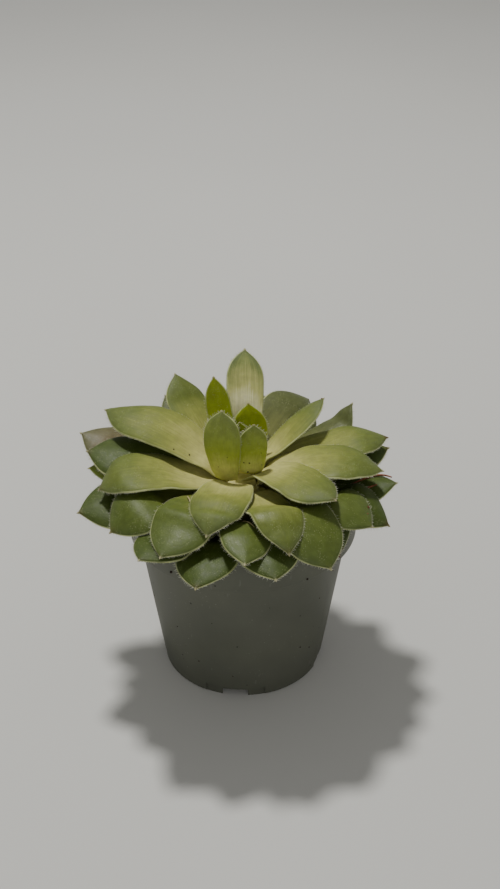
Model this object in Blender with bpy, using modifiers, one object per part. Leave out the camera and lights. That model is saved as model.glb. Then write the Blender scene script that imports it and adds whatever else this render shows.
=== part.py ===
"""A small succulent rosette in a round grey nursery pot.

World frame: metres, +Z up, the foot on z = 0. The origin is under the middle of
the whole plant's box, so the pot's axis stands a little to one side of it.
The leaf and profile tables are in millimetres and degrees, measured from the
pot's axis. Azimuth runs anticlockwise from +X seen from above; the front of the
plant is at -90.
"""
import math

import bmesh
import bpy
import numpy as np

MM = 0.001
GAP = 0.3                      # clearance kept between neighbouring pieces
GAP_SPARE = 0.12               # settled leaves keep this much more
SLIMMED = 0.88                 # share of a leaf's settled thickness that is modelled

AXIS_PLACE = (1.69, 1.07, 0.0)  # the pot's axis, from the middle of the plant's box

# pot
POT_HEIGHT = 47.0
FOOT_RADIUS = 19.8
WALL_SLOPE = 0.149             # growth of the outer radius per unit height
WALL = 0.8
BAND_BOTTOM = 37.9             # lower edge of the wider rim band
BAND_RADIUS = 27.45
RIM_RADIUS = 27.6
RIM_WALL = 1.0
FOOT_WALL = 1.0
FLOOR_UNDER = 2.4
FLOOR_TOP = 3.3
CENTRE_HOLE_RADIUS = 2.2
POT_STEPS = 72
NOTCH_AZIMUTH = -95.6          # the front one of four
NOTCH_COUNT = 4
NOTCH_WIDTH = 6.3
NOTCH_HEIGHT = 2.0
PANEL_WIDTH = 14.4             # shallow recess round each notch
PANEL_HEIGHT = 2.8
PANEL_DEPTH = 0.4
DRAIN_RADIUS = 2.3
DRAIN_REACH = 13.0

# soil and stem
SOIL_EDGE = 42.3
SOIL_MIDDLE = 43.1
SOCKET_FLOOR = 35.7
STEM_FOOT = 36.0
STEM_LEVELS = (43.0, 46.0, 49.0, 51.0)
STEM_RADII = (6.2, 5.6, 3.6, 2.6)
STEM_TOP = 51.7

# leaf blade
WIDEST = 0.62                  # where along the blade it is widest
BASE_WIDTH_SHARE = 0.2
BLUNTNESS = (2.8, 1.1)         # shape of the blade's end: round shoulders, then a hollow to the point
CUP = (0.26, -0.36)            # margin rise at the base, and its change to the tip
INNER_CUP = (0.34, -0.14)
EDGE_HALF = 0.12               # half thickness of the leaf margin
SPINE_STEPS = 48               # steps in which a leaf's midline is laid out
LIFT_STATIONS = 12             # places along a leaf where its lift is kept
BEND_ORDER = 5                 # a settled leaf bends smoothly
SETTLE_ROUNDS = 34             # rounds of smooth bending
FITTING_ROUNDS = 26            # rounds of finer bending after them
LEAF_REACH_CLEAR = 0.45        # from the stem's side to a leaf's base
BLADE_STATIONS = (0, 0.08, 0.2, 0.34, 0.48, 0.6, 0.72, 0.82, 0.9, 0.965)
BLADE_ACROSS = (-1.0, -0.55, 0.0, 0.55, 1.0)
RING = 8                       # points round one station: 2 margins, 3 above, 3 below

# name, azimuth, base height, length, width, pitch at the base, pitch at the tip
LEAVES = (
    # lowest tier: every other leaf lies under its neighbours
    ("leaf_outer_01", -105, 44.8, 34.0, 14.5, 19, -9),
    ("leaf_outer_02", -48, 44.8, 27.5, 16.5, 26, -22),
    ("leaf_outer_03", -4, 44.8, 31.5, 13.5, 20, 5),
    ("leaf_outer_04", 42, 44.8, 31.0, 13.0, 20, 6),
    ("leaf_outer_05", 96, 44.8, 31.0, 13.5, 20, 5),
    ("leaf_outer_06", 160, 44.8, 38.0, 13.5, 24, 6),
    ("leaf_outer_07", -164, 44.8, 35.0, 15.5, 26, -12),
    ("leaf_outer_08", -125, 45.2, 34.5, 14.0, 20, 1),
    ("leaf_outer_09", -79, 45.2, 33.0, 14.5, 18, -2),
    ("leaf_outer_10", -22, 45.2, 31.0, 13.0, 15, -10),
    ("leaf_outer_11", 18, 45.4, 32.5, 12.5, 17, 8),
    ("leaf_outer_12", 69, 45.2, 30.0, 13.0, 20, 5),
    ("leaf_outer_13", 126, 45.2, 30.0, 13.0, 22, 8),
    ("leaf_outer_14", 176, 45.6, 32.0, 12.5, 17, 7),
    ("leaf_outer_15", 143, 45.8, 30.0, 12.5, 22, 6),
    # middle tier
    ("leaf_middle_01", -148, 46.6, 30.5, 15.0, 14, -10),
    ("leaf_middle_02", -89, 46.6, 32.0, 12.0, 15, 9),
    ("leaf_middle_03", -34, 46.6, 31.0, 14.5, 25, -9),
    ("leaf_middle_05", 82, 46.6, 29.0, 14.0, 30, 10),
    ("leaf_middle_11", 104, 46.4, 28.0, 13.0, 20, 6),
    ("leaf_middle_06", 129, 47.0, 29.0, 11.5, 26, 29),
    ("leaf_middle_07", 174, 47.0, 34.0, 14.5, 27, 6),
    ("leaf_middle_08", -119, 47.4, 33.0, 15.0, 21, -4),
    ("leaf_middle_09", -59, 47.4, 34.0, 15.0, 23, -19),
    ("leaf_middle_10", 62, 47.0, 32.5, 15.0, 48, -20),
    ("leaf_middle_04", 36, 48.0, 31.5, 10.5, 29, 22),
    # top tier
    ("leaf_upper_05", 17, 49.0, 34.0, 14.0, 24, -2),
    ("leaf_upper_02", -166, 49.4, 31.0, 16.0, 22, -16),
    ("leaf_upper_03", 124, 49.2, 31.5, 11.5, 43, 20),
    ("leaf_upper_01", -8, 49.6, 30.5, 14.5, 7, 17),
    ("leaf_upper_04", -73, 50.4, 32.0, 12.0, 24, -20),
    ("leaf_upper_06", 157, 50.2, 35.5, 14.5, 30, 9),
    ("leaf_upper_07", -105, 51.0, 27.5, 13.0, 9, -6),
    ("leaf_upper_08", -45, 51.0, 28.0, 12.5, 27, 6),
    ("leaf_upper_09", 39, 51.0, 26.0, 9.0, 33, 27),
    # upright leaves round the heart
    ("leaf_inner_01", 89, 50.6, 30.5, 9.0, 58, 45),
    ("leaf_inner_02", 121, 52.7, 21.5, 5.8, 62, 72),
    ("leaf_inner_03", -133, 52.8, 20.0, 8.5, 90, 87),
    ("leaf_inner_04", -68, 52.9, 17.0, 6.5, 76, 90),
    ("leaf_inner_05", 80, 52.2, 16.0, 9.5, 80, 77),
    ("leaf_inner_06", 115, 52.8, 13.0, 4.8, 92, 86),
    ("leaf_inner_07", 86, 52.8, 11.0, 4.4, 94, 84),
)
# distance of a leaf's base from the axis, where it isn't simply the stem's side
BASE_REACH = {
    "leaf_middle_10": 5.9,
    "leaf_inner_02": 5.2,
    "leaf_inner_03": 6.6,
    "leaf_inner_04": 4.9,
    "leaf_inner_05": 4.0,
    "leaf_inner_06": 1.6,
    "leaf_inner_07": 1.5,
}
# turn of the blade about its own length: positive lifts the margin on its left
ROLL = {
    "leaf_outer_01": 7,
    "leaf_outer_02": 8,
    "leaf_outer_03": 6,
    "leaf_outer_06": -16,
    "leaf_outer_07": -14,
    "leaf_outer_10": 9,
    "leaf_outer_11": 7,
    "leaf_outer_14": -7,
    "leaf_middle_01": -12,
    "leaf_middle_02": -9,
    "leaf_middle_04": -5,
    "leaf_middle_06": 8,
    "leaf_middle_07": -11,
    "leaf_middle_10": 28,
    "leaf_upper_03": 10,
    "leaf_upper_04": -7,
    "leaf_upper_06": -8,
    "leaf_upper_09": -16,
    "leaf_inner_01": 15,
    "leaf_inner_02": -32,
    "leaf_inner_03": 28,
    "leaf_inner_04": -18,
    "leaf_inner_05": 32,
}
# where the leaf is widest, for leaves that differ
WIDEST_AT = {
    "leaf_outer_01": 0.65,
    "leaf_outer_02": 0.70,
    "leaf_outer_06": 0.69,
    "leaf_outer_07": 0.66,
    "leaf_outer_08": 0.66,
    "leaf_outer_09": 0.65,
    "leaf_outer_10": 0.65,
    "leaf_outer_14": 0.65,
    "leaf_middle_01": 0.70,
    "leaf_middle_03": 0.67,
    "leaf_middle_07": 0.69,
    "leaf_middle_09": 0.68,
    "leaf_upper_02": 0.68,
    "leaf_upper_03": 0.70,
    "leaf_upper_07": 0.57,
    "leaf_inner_01": 0.72,
    "leaf_inner_02": 0.66,
    "leaf_inner_04": 0.54,
    "leaf_inner_05": 0.55,
}

# fallen pine needles: leaf they lie on, start and end as (along, across), arch
NEEDLES = (
    ("pine_needle_01", "leaf_outer_03", (0.62, 0.04), (0.95, 0.80), 0.2),
    ("pine_needle_02", "leaf_outer_03", (0.66, -0.38), (0.84, -0.12), 0.1),
)
NEEDLE_RADIUS = 0.3
NEEDLE_POINTS = 7
NEEDLE_CLEAR = 0.45            # between a needle and the leaf under it

# name: base colour, roughness
MATERIALS = {
    "outer_leaf": ((0.13, 0.19, 0.05), 0.45),
    "middle_leaf": ((0.19, 0.26, 0.07), 0.42),
    "upper_leaf": ((0.27, 0.33, 0.10), 0.4),
    "inner_leaf": ((0.33, 0.37, 0.12), 0.4),
    "grey_plastic": ((0.07, 0.08, 0.075), 0.5),
    "potting_soil": ((0.035, 0.022, 0.014), 0.95),
    "plant_stem": ((0.20, 0.16, 0.07), 0.8),
    "pine_needle": ((0.20, 0.05, 0.02), 0.6),
}


def start_empty():
    for thing in list(bpy.data.objects):
        bpy.data.objects.remove(thing, do_unlink=True)


def new_collection(name):
    made = bpy.data.collections.new(name)
    bpy.context.scene.collection.children.link(made)
    return made


def new_material(name):
    colour, rough = MATERIALS[name]
    made = bpy.data.materials.new(name)
    made.use_nodes = True
    shader = made.node_tree.nodes["Principled BSDF"]
    shader.inputs["Base Color"].default_value = (*colour, 1)
    shader.inputs["Roughness"].default_value = rough
    shader.inputs["Metallic"].default_value = 0.0
    made.diffuse_color = (*colour, 1)
    return made


def new_object(name, points, edges, faces, material, collection):
    """A mesh object from points in millimetres."""
    mesh = bpy.data.meshes.new(name)
    scaled = [tuple(float(c) * MM for c in point) for point in points]
    mesh.from_pydata(scaled, edges, faces)
    mesh.update()
    if material:
        mesh.materials.append(material)
    made = bpy.data.objects.new(name, mesh)
    collection.objects.link(made)
    return made


def smooth(thing, angle=35):
    for face in thing.data.polygons:
        face.use_smooth = True
    thing.data.set_sharp_from_angle(angle=math.radians(angle))


def turned(name, profile, steps, material, collection, closed):
    """A profile of (radius, height) points turned round the Z axis."""
    count = len(profile)
    points = [(radius, 0.0, height) for radius, height in profile]
    edges = [(i, i + 1) for i in range(count - 1)]
    if closed:
        edges.append((count - 1, 0))
    made = new_object(name, points, edges, [], material, collection)
    screw = made.modifiers.new("Turn", "SCREW")
    screw.axis = "Z"
    screw.angle = math.radians(360)
    screw.steps = steps
    screw.render_steps = steps
    screw.use_merge_vertices = True
    screw.merge_threshold = 1e-6
    screw.use_smooth_shade = True
    return made


# ---------------------------------------------------------------- pot

def outer_radius(height):
    return FOOT_RADIUS + WALL_SLOPE * height


def pot_profile():
    """Down the outside, under the floor, and up the inside."""
    shoulder = BAND_BOTTOM - 0.5
    inner_rim = RIM_RADIUS - RIM_WALL
    foot_inside = FOOT_RADIUS - FOOT_WALL
    return [
        (RIM_RADIUS - 0.3, POT_HEIGHT),
        (RIM_RADIUS, POT_HEIGHT - 0.35),
        (BAND_RADIUS, BAND_BOTTOM + 0.5),
        (BAND_RADIUS - 0.3, BAND_BOTTOM),
        (outer_radius(shoulder) + 0.5, shoulder),
        (outer_radius(shoulder - 0.5), shoulder - 0.5),
        (outer_radius(25.0), 25.0),
        (outer_radius(12.0), 12.0),
        (outer_radius(0.35), 0.35),
        (FOOT_RADIUS - 0.3, 0.0),
        (foot_inside + 0.2, 0.0),
        (foot_inside, 0.3),
        (foot_inside - 0.2, FLOOR_UNDER - 0.2),
        (foot_inside - 0.5, FLOOR_UNDER),
        (CENTRE_HOLE_RADIUS, FLOOR_UNDER),
        (CENTRE_HOLE_RADIUS, FLOOR_TOP),
        (outer_radius(FLOOR_TOP) - WALL - 0.5, FLOOR_TOP),
        (outer_radius(FLOOR_TOP) - WALL, FLOOR_TOP + 0.5),
        (outer_radius(BAND_BOTTOM) - WALL, BAND_BOTTOM),
        (inner_rim - 0.2, BAND_BOTTOM + 1.6),
        (inner_rim, BAND_BOTTOM + 2.2),
        (inner_rim, POT_HEIGHT - 0.35),
        (inner_rim + 0.25, POT_HEIGHT),
    ]


def notch_cutter(index, collection):
    """A small archway through the foot ring."""
    azimuth = math.radians(NOTCH_AZIMUTH + 360 / NOTCH_COUNT * index)
    bm = bmesh.new()
    bmesh.ops.create_cube(bm, size=1.0)
    mesh = bpy.data.meshes.new(f"notch_cutter_{index + 1}")
    bm.to_mesh(mesh)
    bm.free()
    made = bpy.data.objects.new(mesh.name, mesh)
    collection.objects.link(made)
    made.scale = (4.0 * MM, NOTCH_WIDTH * MM, 2 * NOTCH_HEIGHT * MM)
    made.location = (
        FOOT_RADIUS * MM * math.cos(azimuth),
        FOOT_RADIUS * MM * math.sin(azimuth),
        0.0,
    )
    made.rotation_euler = (0, 0, azimuth)
    return made


def panel_cutter(index, collection):
    """A curved bar that shaves the shallow recess round a notch."""
    half = math.degrees(math.asin(PANEL_WIDTH / 2 / FOOT_RADIUS))
    low, high = -1.0, PANEL_HEIGHT
    profile = [
        (FOOT_RADIUS + 3.0, high),
        (FOOT_RADIUS + 3.0, low),
        (outer_radius(low) - PANEL_DEPTH, low),
        (outer_radius(high) - PANEL_DEPTH, high),
    ]
    steps = 9
    points, faces = [], []
    for k in range(steps + 1):
        angle = math.radians(-half + 2 * half * k / steps)
        for radius, height in profile:
            points.append((radius * math.cos(angle), radius * math.sin(angle), height))
    count = len(profile)
    for k in range(steps):
        for q in range(count):
            a, b = k * count + q, k * count + (q + 1) % count
            faces.append((a, b, b + count, a + count))
    faces.append(tuple(range(count))[::-1])
    faces.append(tuple(range(steps * count, steps * count + count)))
    made = new_object(f"panel_cutter_{index + 1}", points, [], faces, None, collection)
    made.rotation_euler = (0, 0, math.radians(NOTCH_AZIMUTH + 360 / NOTCH_COUNT * index))
    bm = bmesh.new()
    bm.from_mesh(made.data)
    bmesh.ops.recalc_face_normals(bm, faces=bm.faces)
    bm.to_mesh(made.data)
    bm.free()
    return made


def drain_cutter(index, collection):
    azimuth = math.radians(NOTCH_AZIMUTH + 360 / NOTCH_COUNT * (index + 0.5))
    bm = bmesh.new()
    bmesh.ops.create_cone(
        bm, cap_ends=True, segments=20, depth=4.0 * MM,
        radius1=DRAIN_RADIUS * MM, radius2=DRAIN_RADIUS * MM,
    )
    mesh = bpy.data.meshes.new(f"drain_cutter_{index + 1}")
    bm.to_mesh(mesh)
    bm.free()
    made = bpy.data.objects.new(mesh.name, mesh)
    collection.objects.link(made)
    made.location = (
        DRAIN_REACH * MM * math.cos(azimuth),
        DRAIN_REACH * MM * math.sin(azimuth),
        (FLOOR_UNDER + FLOOR_TOP) / 2 * MM,
    )
    return made


def build_pot(material, parts, cutters):
    pot = turned("pot", pot_profile(), POT_STEPS, material, parts, closed=True)
    for index in range(NOTCH_COUNT):
        for make in (notch_cutter, panel_cutter, drain_cutter):
            cutter = make(index, cutters)
            cutter.hide_render = True
            cutter.display_type = "WIRE"
            cut = pot.modifiers.new(cutter.name, "BOOLEAN")
            cut.operation = "DIFFERENCE"
            cut.solver = "EXACT"
            cut.object = cutter
    return pot


# ---------------------------------------------------------------- soil and stem

def build_soil(material, parts):
    """The root ball, following the pot's inside, with a socket for the stem."""
    socket = STEM_RADII[0] + GAP
    step_out = RIM_RADIUS - RIM_WALL - GAP
    profile = [
        (0.0, SOCKET_FLOOR),
        (socket, SOCKET_FLOOR),
        (socket, SOIL_MIDDLE),
        (socket + 3.0, SOIL_MIDDLE + 0.1),
        (14.0, SOIL_MIDDLE - 0.2),
        (20.0, SOIL_EDGE + 0.2),
        (24.5, SOIL_EDGE),
        (step_out, SOIL_EDGE - 0.3),
        (step_out, BAND_BOTTOM + 2.5),
        (step_out - 0.3, BAND_BOTTOM + 1.8),
        (outer_radius(BAND_BOTTOM) - WALL - GAP, BAND_BOTTOM + 0.2),
        (outer_radius(FLOOR_TOP) - WALL - GAP - 0.1, FLOOR_TOP + 1.0),
        (outer_radius(FLOOR_TOP) - WALL - GAP - 0.9, FLOOR_TOP + GAP),
        (0.0, FLOOR_TOP + GAP),
    ]
    return turned("soil", profile, 56, material, parts, closed=False)


def build_stem(material, parts):
    profile = [
        (0.0, STEM_TOP),
        (1.2, STEM_TOP - 0.1),
        (2.0, STEM_TOP - 0.5),
    ]
    for height, radius in sorted(zip(STEM_LEVELS, STEM_RADII), reverse=True):
        profile.append((radius, height))
    profile += [
        (STEM_RADII[0], STEM_FOOT + 0.6),
        (STEM_RADII[0] - 0.6, STEM_FOOT),
        (0.0, STEM_FOOT),
    ]
    return turned("stem", profile, 32, material, parts, closed=False)


# ---------------------------------------------------------------- leaves

def stem_radius(height):
    return float(np.interp(height, STEM_LEVELS, STEM_RADII))


def width_share(leaf, along, base_share=BASE_WIDTH_SHARE):
    """Half-width profile: narrow base, widest past the middle, round shoulders and a point."""
    widest = WIDEST_AT.get(leaf[0], WIDEST)
    rise = np.sin(np.pi / 2 * np.clip(along / widest, 0, 1)) ** 1.05
    rise = base_share + (1 - base_share) * rise
    past = np.clip((along - widest) / (1 - widest), 0, 1)
    return np.where(along < widest, rise, (1 - past ** BLUNTNESS[0]) ** BLUNTNESS[1])


def thick_share(along):
    rise = 0.42 + 0.58 * np.clip(along / 0.6, 0, 1) ** 1.3
    past = np.clip((along - 0.6) / 0.4, 0, 1)
    return rise * (1 - past ** 2.4) ** 0.7


def leaf_thickness(width):
    return 0.5 + 0.075 * width


def cup(leaf, along):
    """How far the margins rise above the midline, as a share of the half width."""
    at_base, change = INNER_CUP if "inner" in leaf[0] else CUP
    return at_base + change * along


def spine(leaf):
    """Points, side directions and face normals down the leaf's midline."""
    name, azimuth, base, length, _, pitch_base, pitch_tip = leaf
    reach = BASE_REACH.get(name, stem_radius(base) + LEAF_REACH_CLEAR)
    along = np.linspace(0, 1, SPINE_STEPS + 1)
    pitch = np.radians(pitch_base + (pitch_tip - pitch_base) * along)
    yaw = math.radians(azimuth)
    level = np.cos(pitch)
    ahead = np.stack([level * math.cos(yaw), level * math.sin(yaw), np.sin(pitch)], 1)
    side = np.tile([-math.sin(yaw), math.cos(yaw), 0.0], (SPINE_STEPS + 1, 1))
    normal = np.cross(ahead, side)
    roll = math.radians(ROLL.get(name, 0))
    side, normal = (side * math.cos(roll) + normal * math.sin(roll),
                    normal * math.cos(roll) - side * math.sin(roll))
    start = np.array([reach * math.cos(yaw), reach * math.sin(yaw), base])
    steps = (ahead[1:] + ahead[:-1]) / 2 * (length / SPINE_STEPS)
    points = np.vstack([start, start + np.cumsum(steps, 0)])
    return along, points, side, normal


def curve_through(values, along):
    """A smooth curve through values evenly spaced along a leaf."""
    last = len(values) - 1
    padded = np.concatenate([[2 * values[0] - values[1]], values, [2 * values[-1] - values[-2]]])
    cell = np.clip((along * last).astype(int), 0, last - 1)
    t = along * last - cell
    a, b, c, d = (padded[cell + k] for k in range(4))
    return b + 0.5 * t * (c - a + t * (2 * a - 5 * b + 4 * c - d + t * (3 * (b - c) + d - a)))


def blade(leaf, lift, along, across, share=width_share):
    """Mid-surface points, normals and half thicknesses on a grid of the blade."""
    known, points, side, normal = spine(leaf)

    def at(values):
        return np.stack([np.interp(along, known, values[:, k]) for k in range(3)], 1)

    centre, side, normal = at(points), at(side), at(normal)
    raised = curve_through(lift, along)
    half = leaf[4] / 2 * share(leaf, along)
    grid = (centre + normal * raised[:, None])[:, None]
    grid = grid + side[:, None] * (across[None, :, None] * half[:, None, None])
    bowl = (cup(leaf, along) * half)[:, None, None] * (across ** 2)[None, :, None]
    grid = grid + normal[:, None] * bowl
    body = np.sqrt(np.clip(1 - np.abs(across) ** 2.4, 0, 1))
    thick = leaf_thickness(leaf[4]) / 2 * thick_share(along)[:, None] * body[None] + EDGE_HALF
    slope = 2 * cup(leaf, along)[:, None] * across[None]
    facing = normal[:, None] - side[:, None] * slope[..., None]
    facing = facing / np.linalg.norm(facing, axis=2, keepdims=True)
    return grid, facing, thick


def push_apart(lower, upper, rise, drop):
    """Half of each missing clearance goes to each of two leaves."""
    apart = upper["points"][:, None] - lower["points"][None]
    above = np.einsum("abk,bk->ab", apart, lower["normals"])
    beside = (apart ** 2).sum(2) - above ** 2
    beside = np.where(np.abs(above) < 7.0, beside, 1e9)
    nearest = beside.argmin(1)
    here = np.arange(len(nearest))
    needed = upper["half"] + lower["half"][nearest] + GAP + GAP_SPARE
    short = needed - above[here, nearest]
    close = (beside[here, nearest] < 1.7 ** 2) & (short > 0)
    if not close.any():
        return
    ours, theirs = here[close], nearest[close]
    half = 0.5 * short[close]
    facing = (upper["normals"][ours] * lower["normals"][theirs]).sum(1)
    turn = np.where(np.abs(facing) > 0.25, np.sign(facing), 0.0) * half
    row, low_row = ours // upper["across"], theirs // lower["across"]
    np.maximum.at(rise[upper["index"]], row, np.maximum(turn, 0))
    np.minimum.at(drop[upper["index"]], row, np.minimum(turn, 0))
    np.minimum.at(drop[lower["index"]], low_row, -half)


def settle_leaves():
    """Lift of every leaf along its length so that stacked leaves rest clear of each other."""
    along = np.linspace(0.0, 0.985, LIFT_STATIONS + 1)
    across = np.linspace(-1, 1, 7)
    count = len(LEAVES)
    lift = np.zeros((count, LIFT_STATIONS + 1))
    powers = np.vander(np.linspace(0, 1, LIFT_STATIONS + 1), BEND_ORDER + 1)
    smooth = powers @ np.linalg.pinv(powers)
    for turn in range(SETTLE_ROUNDS + FITTING_ROUNDS):
        rise = np.zeros_like(lift)
        drop = np.zeros_like(lift)
        grids = []
        for index, leaf in enumerate(LEAVES):
            grid, facing, thick = blade(leaf, lift[index], along, across)
            points = grid.reshape(-1, 3)
            grids.append({
                "index": index, "points": points, "normals": facing.reshape(-1, 3),
                "half": thick.reshape(-1), "grid": grid, "thick": thick,
                "across": len(across), "low": points.min(0) - 3, "high": points.max(0) + 3,
            })
        for i, lower in enumerate(grids):
            for upper in grids[i + 1:]:
                if (lower["low"] > upper["high"]).any() or (upper["low"] > lower["high"]).any():
                    continue
                push_apart(lower, upper, rise, drop)
        move = rise + drop
        for index, entry in enumerate(grids):
            reach = np.hypot(entry["grid"][..., 0], entry["grid"][..., 1])
            over_rim = np.where(reach < 28.8, POT_HEIGHT + 0.5, -9.0)
            ground = np.where(reach < 25.4, SOIL_MIDDLE + 0.9, over_rim)
            lack = (ground + entry["thick"] - entry["grid"][..., 2]).max(1)
            move[index] = np.where(lack > 0, np.maximum(move[index], lack), move[index])
        lift = lift + 0.8 * move
        if turn < SETTLE_ROUNDS:
            lift = lift @ smooth
            continue
        eased = lift.copy()
        eased[:, 1:-1] = 0.25 * lift[:, :-2] + 0.5 * lift[:, 1:-1] + 0.25 * lift[:, 2:]
        eased[:, -1] = 2 * eased[:, -2] - eased[:, -3]
        ease = 0.25 * (SETTLE_ROUNDS + FITTING_ROUNDS - 1 - turn) / FITTING_ROUNDS
        lift = (1 - ease) * lift + ease * eased
    return lift


def build_leaf(leaf, lift, material, parts):
    """A loft of eight-point rings ending in a single point."""
    along = np.array(BLADE_STATIONS, float)
    across = np.array(BLADE_ACROSS)
    grid, facing, thick = blade(leaf, lift, along, across)
    half = SLIMMED * thick[..., None]
    top, under = grid + facing * half, grid - facing * half
    rings = np.concatenate([grid[:, :1], top[:, 1:4], grid[:, 4:], under[:, 3:0:-1]], 1)
    tip = blade(leaf, lift, np.array([1.0]), np.array([0.0]))[0][0, 0]
    points = [*rings.reshape(-1, 3), tip]
    faces = []
    for k in range(len(along) - 1):
        for q in range(RING):
            a, b = k * RING + q, k * RING + (q + 1) % RING
            faces.append((a, a + RING, b + RING, b))
    last = (len(along) - 1) * RING
    for q in range(RING):
        faces.append((last + q, len(points) - 1, last + (q + 1) % RING))
    faces.append(tuple(range(RING)))
    made = new_object(leaf[0], points, [], faces, material, parts)
    smooth(made, 60)
    return made


def build_needle(needle, lifts, material, parts):
    """A thin tube lying along a leaf's upper face."""
    name, host, start, end, arch = needle
    index = [leaf[0] for leaf in LEAVES].index(host)
    count = NEEDLE_POINTS
    curve = bpy.data.curves.new(name, "CURVE")
    curve.dimensions = "3D"
    curve.bevel_depth = NEEDLE_RADIUS * MM
    curve.bevel_resolution = 1
    curve.resolution_u = 1
    curve.use_fill_caps = True
    line = curve.splines.new("POLY")
    line.points.add(count - 1)
    for k in range(count):
        share = k / (count - 1)
        along = np.array([start[0] + (end[0] - start[0]) * share])
        across = np.array([start[1] + (end[1] - start[1]) * share])
        grid, facing, thick = blade(LEAVES[index], lifts[index], along, across)
        above = thick[0, 0] + NEEDLE_RADIUS + NEEDLE_CLEAR + arch * math.sin(math.pi * share)
        x, y, z = (grid[0, 0] + facing[0, 0] * above) * MM
        line.points[k].co = (x, y, z, 1)
    curve.materials.append(material)
    made = bpy.data.objects.new(name, curve)
    parts.objects.link(made)
    return made


def stand_on_axis(collections):
    """Hang every object from one empty on the pot's axis."""
    axis = bpy.data.objects.new("pot_axis", None)
    axis.location = [value * MM for value in AXIS_PLACE]
    collections[0].objects.link(axis)
    for collection in collections:
        for thing in collection.objects:
            if thing is not axis:
                thing.parent = axis


def main():
    start_empty()
    parts = new_collection("potted_succulent")
    cutters = new_collection("cutters")
    material = {name: new_material(name) for name in MATERIALS}
    build_pot(material["grey_plastic"], parts, cutters)
    build_soil(material["potting_soil"], parts)
    build_stem(material["plant_stem"], parts)
    lifts = settle_leaves()
    for leaf, lift in zip(LEAVES, lifts):
        tier = leaf[0].split("_")[1]
        build_leaf(leaf, lift, material[f"{tier}_leaf"], parts)
    for needle in NEEDLES:
        build_needle(needle, lifts, material["pine_needle"], parts)
    stand_on_axis([parts, cutters])


main()
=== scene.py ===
import math

import bmesh
import bpy
import numpy as np
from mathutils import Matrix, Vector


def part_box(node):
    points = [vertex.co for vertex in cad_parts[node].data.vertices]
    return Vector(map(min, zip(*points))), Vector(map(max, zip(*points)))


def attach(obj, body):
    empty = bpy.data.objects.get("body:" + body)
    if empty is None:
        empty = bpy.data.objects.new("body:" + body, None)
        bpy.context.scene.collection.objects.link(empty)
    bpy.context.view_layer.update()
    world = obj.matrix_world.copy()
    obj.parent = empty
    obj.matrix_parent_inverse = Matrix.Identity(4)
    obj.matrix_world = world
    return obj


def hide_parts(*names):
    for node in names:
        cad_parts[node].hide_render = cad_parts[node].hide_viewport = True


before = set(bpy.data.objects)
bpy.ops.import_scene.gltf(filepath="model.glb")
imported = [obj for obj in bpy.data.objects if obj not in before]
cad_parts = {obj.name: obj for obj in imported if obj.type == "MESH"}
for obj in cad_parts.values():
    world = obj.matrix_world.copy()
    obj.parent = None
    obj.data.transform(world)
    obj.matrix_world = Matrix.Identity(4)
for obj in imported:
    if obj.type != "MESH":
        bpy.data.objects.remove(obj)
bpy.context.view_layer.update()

MM = 0.001
GAP = 0.3
GAP_SPARE = 0.12               # settled leaves keep this much more

# pot
POT_HEIGHT = 47.0
FOOT_RADIUS = 19.8
WALL_SLOPE = 0.149
WALL = 0.8
BAND_BOTTOM = 37.9
BAND_RADIUS = 27.45
RIM_RADIUS = 27.6
RIM_WALL = 1.0
FOOT_WALL = 1.0
FLOOR_UNDER = 2.4
FLOOR_TOP = 3.3
CENTRE_HOLE_RADIUS = 2.2
POT_STEPS = 192
NOTCH_AZIMUTH = -95.6
NOTCH_COUNT = 4
NOTCH_WIDTH = 6.3
NOTCH_HEIGHT = 2.0
PANEL_WIDTH = 14.4
PANEL_HEIGHT = 2.8
PANEL_DEPTH = 0.4
DRAIN_RADIUS = 2.3
DRAIN_REACH = 13.0
POT_ROUNDING = 0.16

# studio, in metres from the foot of the pot's axis
FLOOR_HALF = 2.5
FLOOR_DROP = -5e-5
AIM_HEIGHT = 0.045
KEY_PLACE = (-0.11, 0.24, 0.77)
FILL_PLACE = (0.05, -0.80, 0.45)
CAMERA_OFFSET = (0.0017, -0.2793)
CAMERA_HEIGHT = 0.2344
CAMERA_TURN = 58.1             # degrees up from looking straight down
CAMERA_SENSOR = 36.0           # millimetres
CAMERA_LENS = 56.692913        # millimetres

# soil and stem
SOIL_EDGE = 42.3
SOIL_MIDDLE = 43.1
STEM_LEVELS = (43.0, 46.0, 49.0, 51.0)
STEM_RADII = (6.2, 5.6, 3.6, 2.6)
SOIL_RINGS = 70
SOIL_STEPS = 160
SOIL_ROUGHNESS = 0.45
CRUMB_COUNT = 420
GRIT_COUNT = 26

# leaf blade, as in the CAD
WIDEST = 0.62
BASE_WIDTH_SHARE = 0.2
BLUNTNESS = (2.8, 1.1)         # shape of the blade's end: round shoulders, then a hollow to the point
CUP = (0.26, -0.36)            # margin rise at the base, and its change to the tip
INNER_CUP = (0.34, -0.14)
EDGE_HALF = 0.12
SPINE_STEPS = 48
LIFT_STATIONS = 12
BEND_ORDER = 5                 # a settled leaf bends smoothly
SETTLE_ROUNDS = 34
FITTING_ROUNDS = 26
LEAF_REACH_CLEAR = 0.45

# finer leaf shape
CLASP = 0.36                   # width at the base, as a share
INNER_CLASP = 0.60
BLADE_END = 0.985              # where the blade ends and the fine point begins
TIP_HALF_WIDTH = 0.5
STATIONS = 64
ACROSS = 27
RIDGE = 0.12                   # soft ridge down the upper face's outer half
PILLOW = 0.55                  # extra fullness of the upper face past the middle
KEEL = 0.35                    # and down the underside
DENTS = 0.03
MARGIN_WAVE = 0.20

# how far the upper leaves swell round the foot of the heart
HEART_RISE = {"leaf_upper_07": 1.0, "leaf_upper_04": 1.0, "leaf_upper_08": 0.7}
HEART_RISE_END = 0.45
HEART_TUCK_END = 0.2

# hairs along the margins
HAIR_SPACING = 0.45
HAIR_LENGTH = 0.80
HAIR_RADIUS = 0.060

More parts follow.
